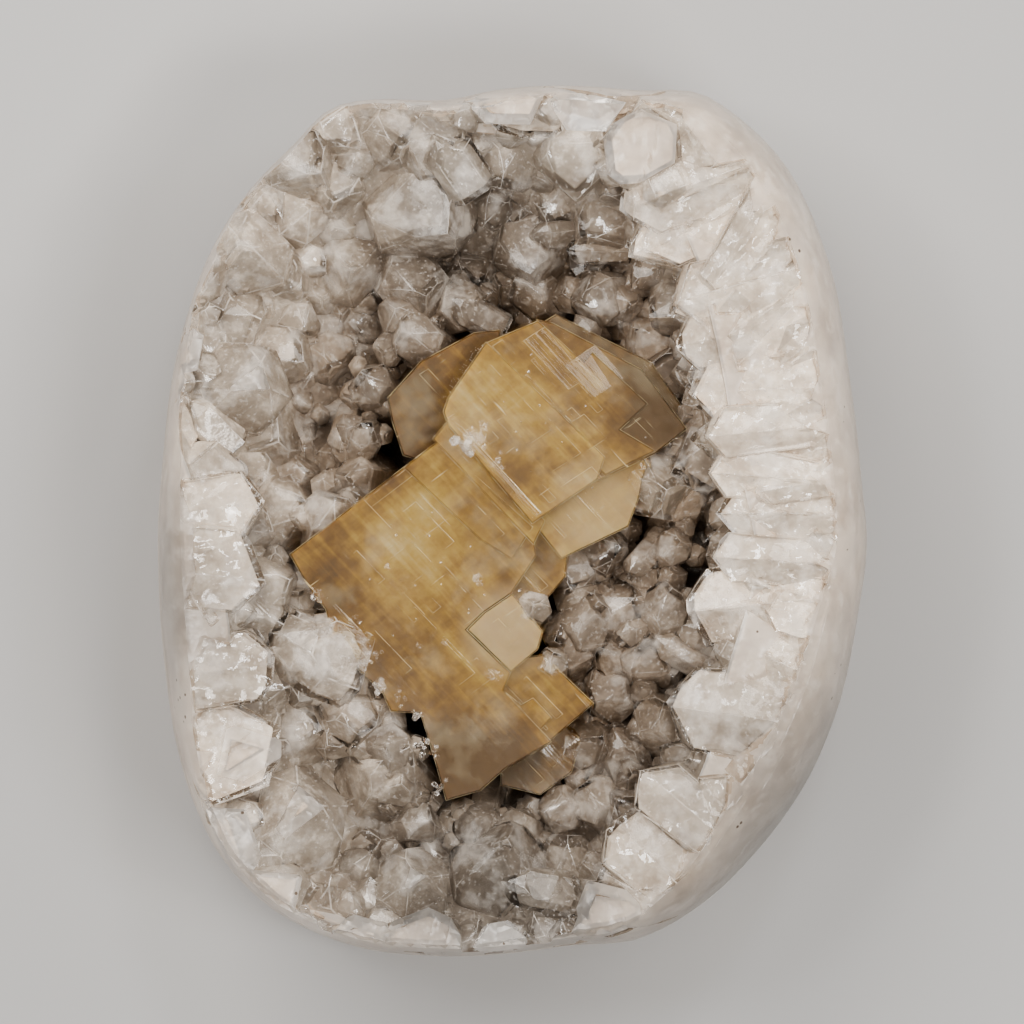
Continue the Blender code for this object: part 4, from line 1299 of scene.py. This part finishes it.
def calcite_skin_material():
    """The calcite's clear outside: pale worn edges, and thin cleavage cracks that run two ways."""
    graph = Graph("honey_calcite")
    cracks = graph.maths("MAXIMUM", streaks(graph, CLEAVAGE, 30.0, 900.0, 0.70, 0.74),
                         streaks(graph, CROSS_CLEAVAGE, 40.0, 1100.0, 0.73, 0.77))
    worn = graph.maths("MULTIPLY", graph.face_value("edge"), graph.spread(graph.noise(220.0, 1.0), 0.35, 0.6))
    veil = graph.spread(graph.noise(60.0, 3.0, 0.65), 0.50, 0.70, 0.0, 0.14)
    milky = graph.maths("MAXIMUM", veil, graph.maths("MULTIPLY", graph.maths("MAXIMUM", cracks, worn), 0.75))
    lines = graph.bump(streaks(graph, CLEAVAGE, 25.0, 700.0, 0.3, 0.7), 0.25, 0.0003)
    return graph.shaded({
        "Base Color": graph.mixed(milky, (0.97, 0.87, 0.62, 1), (0.58, 0.43, 0.20, 1)),
        "Transmission Weight": graph.maths("SUBTRACT", 1.0, milky),
        "Roughness": graph.spread(graph.noise(45.0, 1.0), 0.3, 0.7, 0.05, 0.22),
        "Normal": graph.bump(graph.noise(500.0, 2.0, 0.65), 0.15, 0.0003, lines),
        "IOR": CALCITE_IOR,
    })


# Floor, lights and camera. The camera looks straight down, and its picture is this wide at this level.

CAMERA_HEIGHT = 4.5
CAMERA_MIDDLE = Vector((0.0, 0.00243))
FRAME_WIDTH = 0.27648
FRAME_LEVEL = 0.066
FLOOR_CORNERS = [(-3000, -3000), (3000, -3000), (3000, 3000), (-3000, 3000)]
FLOOR_HEIGHT = -0.2
FLOOR_COLOUR = (0.52, 0.52, 0.52, 1)
WARM, WHITE = (1.0, 0.96, 0.91), (1.0, 1.0, 1.0)
LIGHT_AIM = (0, 0, 0.05)
# The lights: name, place, length of each side, power and colour.
LIGHTS = [
    ("key", (-0.7, 0.9, 1.2), 1.0, 16, WARM),
    ("high", (0.5, -0.35, 1.5), 0.4, 7, WARM),
    ("fill", (1.05, 0.85, 0.9), 1.0, 10, WARM),
    ("low", (-0.9, -0.7, 0.7), 0.6, 3, WARM),
    ("glint_left", (-0.62, 0.25, 1.5), 0.2, 2.6, WHITE),
    ("glint_top", (0.25, 0.75, 1.5), 0.2, 2.6, WHITE),
    ("glint_right", (0.7, -0.2, 1.4), 0.2, 2.6, WHITE),
]
WORLD_COLOUR = (1.0, 0.965, 0.93, 1)
WORLD_STRENGTH = 0.25
SENSOR_WIDTH = 36


def area_light(name, at, side, power, colour):
    light = bpy.data.lights.new(name, "AREA")
    light.shape = "RECTANGLE"
    light.size = light.size_y = side
    light.energy = power
    light.color = colour
    made = bpy.data.objects.new(name, light)
    made.location = at
    made.rotation_euler = (Vector(LIGHT_AIM) - Vector(at)).to_track_quat("-Z", "Y").to_euler()
    bpy.context.scene.collection.objects.link(made)


def set_stage():
    corners = [(x, y, FLOOR_HEIGHT) for x, y in FLOOR_CORNERS]
    floor = mesh_object("floor", corners, [(0, 1, 2, 3)])
    floor.data.materials.append(Graph("floor").shaded({"Base Color": FLOOR_COLOUR, "Roughness": 0.7}))
    for light in LIGHTS:
        area_light(*light)
    world = bpy.data.worlds.new("world")
    world.use_nodes = True
    world.node_tree.nodes["Background"].inputs["Color"].default_value = WORLD_COLOUR
    world.node_tree.nodes["Background"].inputs["Strength"].default_value = WORLD_STRENGTH
    bpy.context.scene.world = world
    bpy.context.scene.view_settings.look = "AgX - Medium High Contrast"
    camera = bpy.data.cameras.new("camera")
    camera.sensor_width = SENSOR_WIDTH
    camera.lens = SENSOR_WIDTH * (CAMERA_HEIGHT - FRAME_LEVEL) / FRAME_WIDTH
    made = bpy.data.objects.new("camera", camera)
    made.location = (*CAMERA_MIDDLE, CAMERA_HEIGHT)
    bpy.context.scene.collection.objects.link(made)
    bpy.context.scene.camera = made


def dress(piece, material, slot, *nodes):
    piece.data.materials.clear()
    piece.data.materials.append(material)
    if nodes:
        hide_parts(*nodes)
    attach(piece, "root")


def clear_of_light(piece):
    """Lets light that falls on what lies under a clear skin pass it unbent."""
    piece.visible_shadow = False
    piece.visible_diffuse = False


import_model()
skin, core = build_quartz()
clear_of_light(skin)
dress(skin, skin_material(), "milky_quartz", "quartz_shell", "crystal_crust")
dress(core, core_material("cloudy_quartz", *MILKY_TONES), "milky_quartz")
calcite, calcite_inside = build_calcite()
clear_of_light(calcite)
dress(calcite, calcite_skin_material(), "honey_calcite", "calcite_cluster")
dress(calcite_inside, calcite_inside_material(), "honey_calcite")
smoky = core_material("smoky_quartz", *SMOKY_TONES)
for number, (clear, cloudy) in enumerate(build_perched(), 1):
    clear_of_light(clear)
    dress(clear, skin.data.materials[0], "clear_quartz", f"perched_quartz_{number}")
    dress(cloudy, smoky, "clear_quartz")
crumbs = build_crumbs()
clear_of_light(crumbs)
dress(crumbs, skin.data.materials[0], "clear_quartz")
set_stage()
bpy.context.view_layer.update()
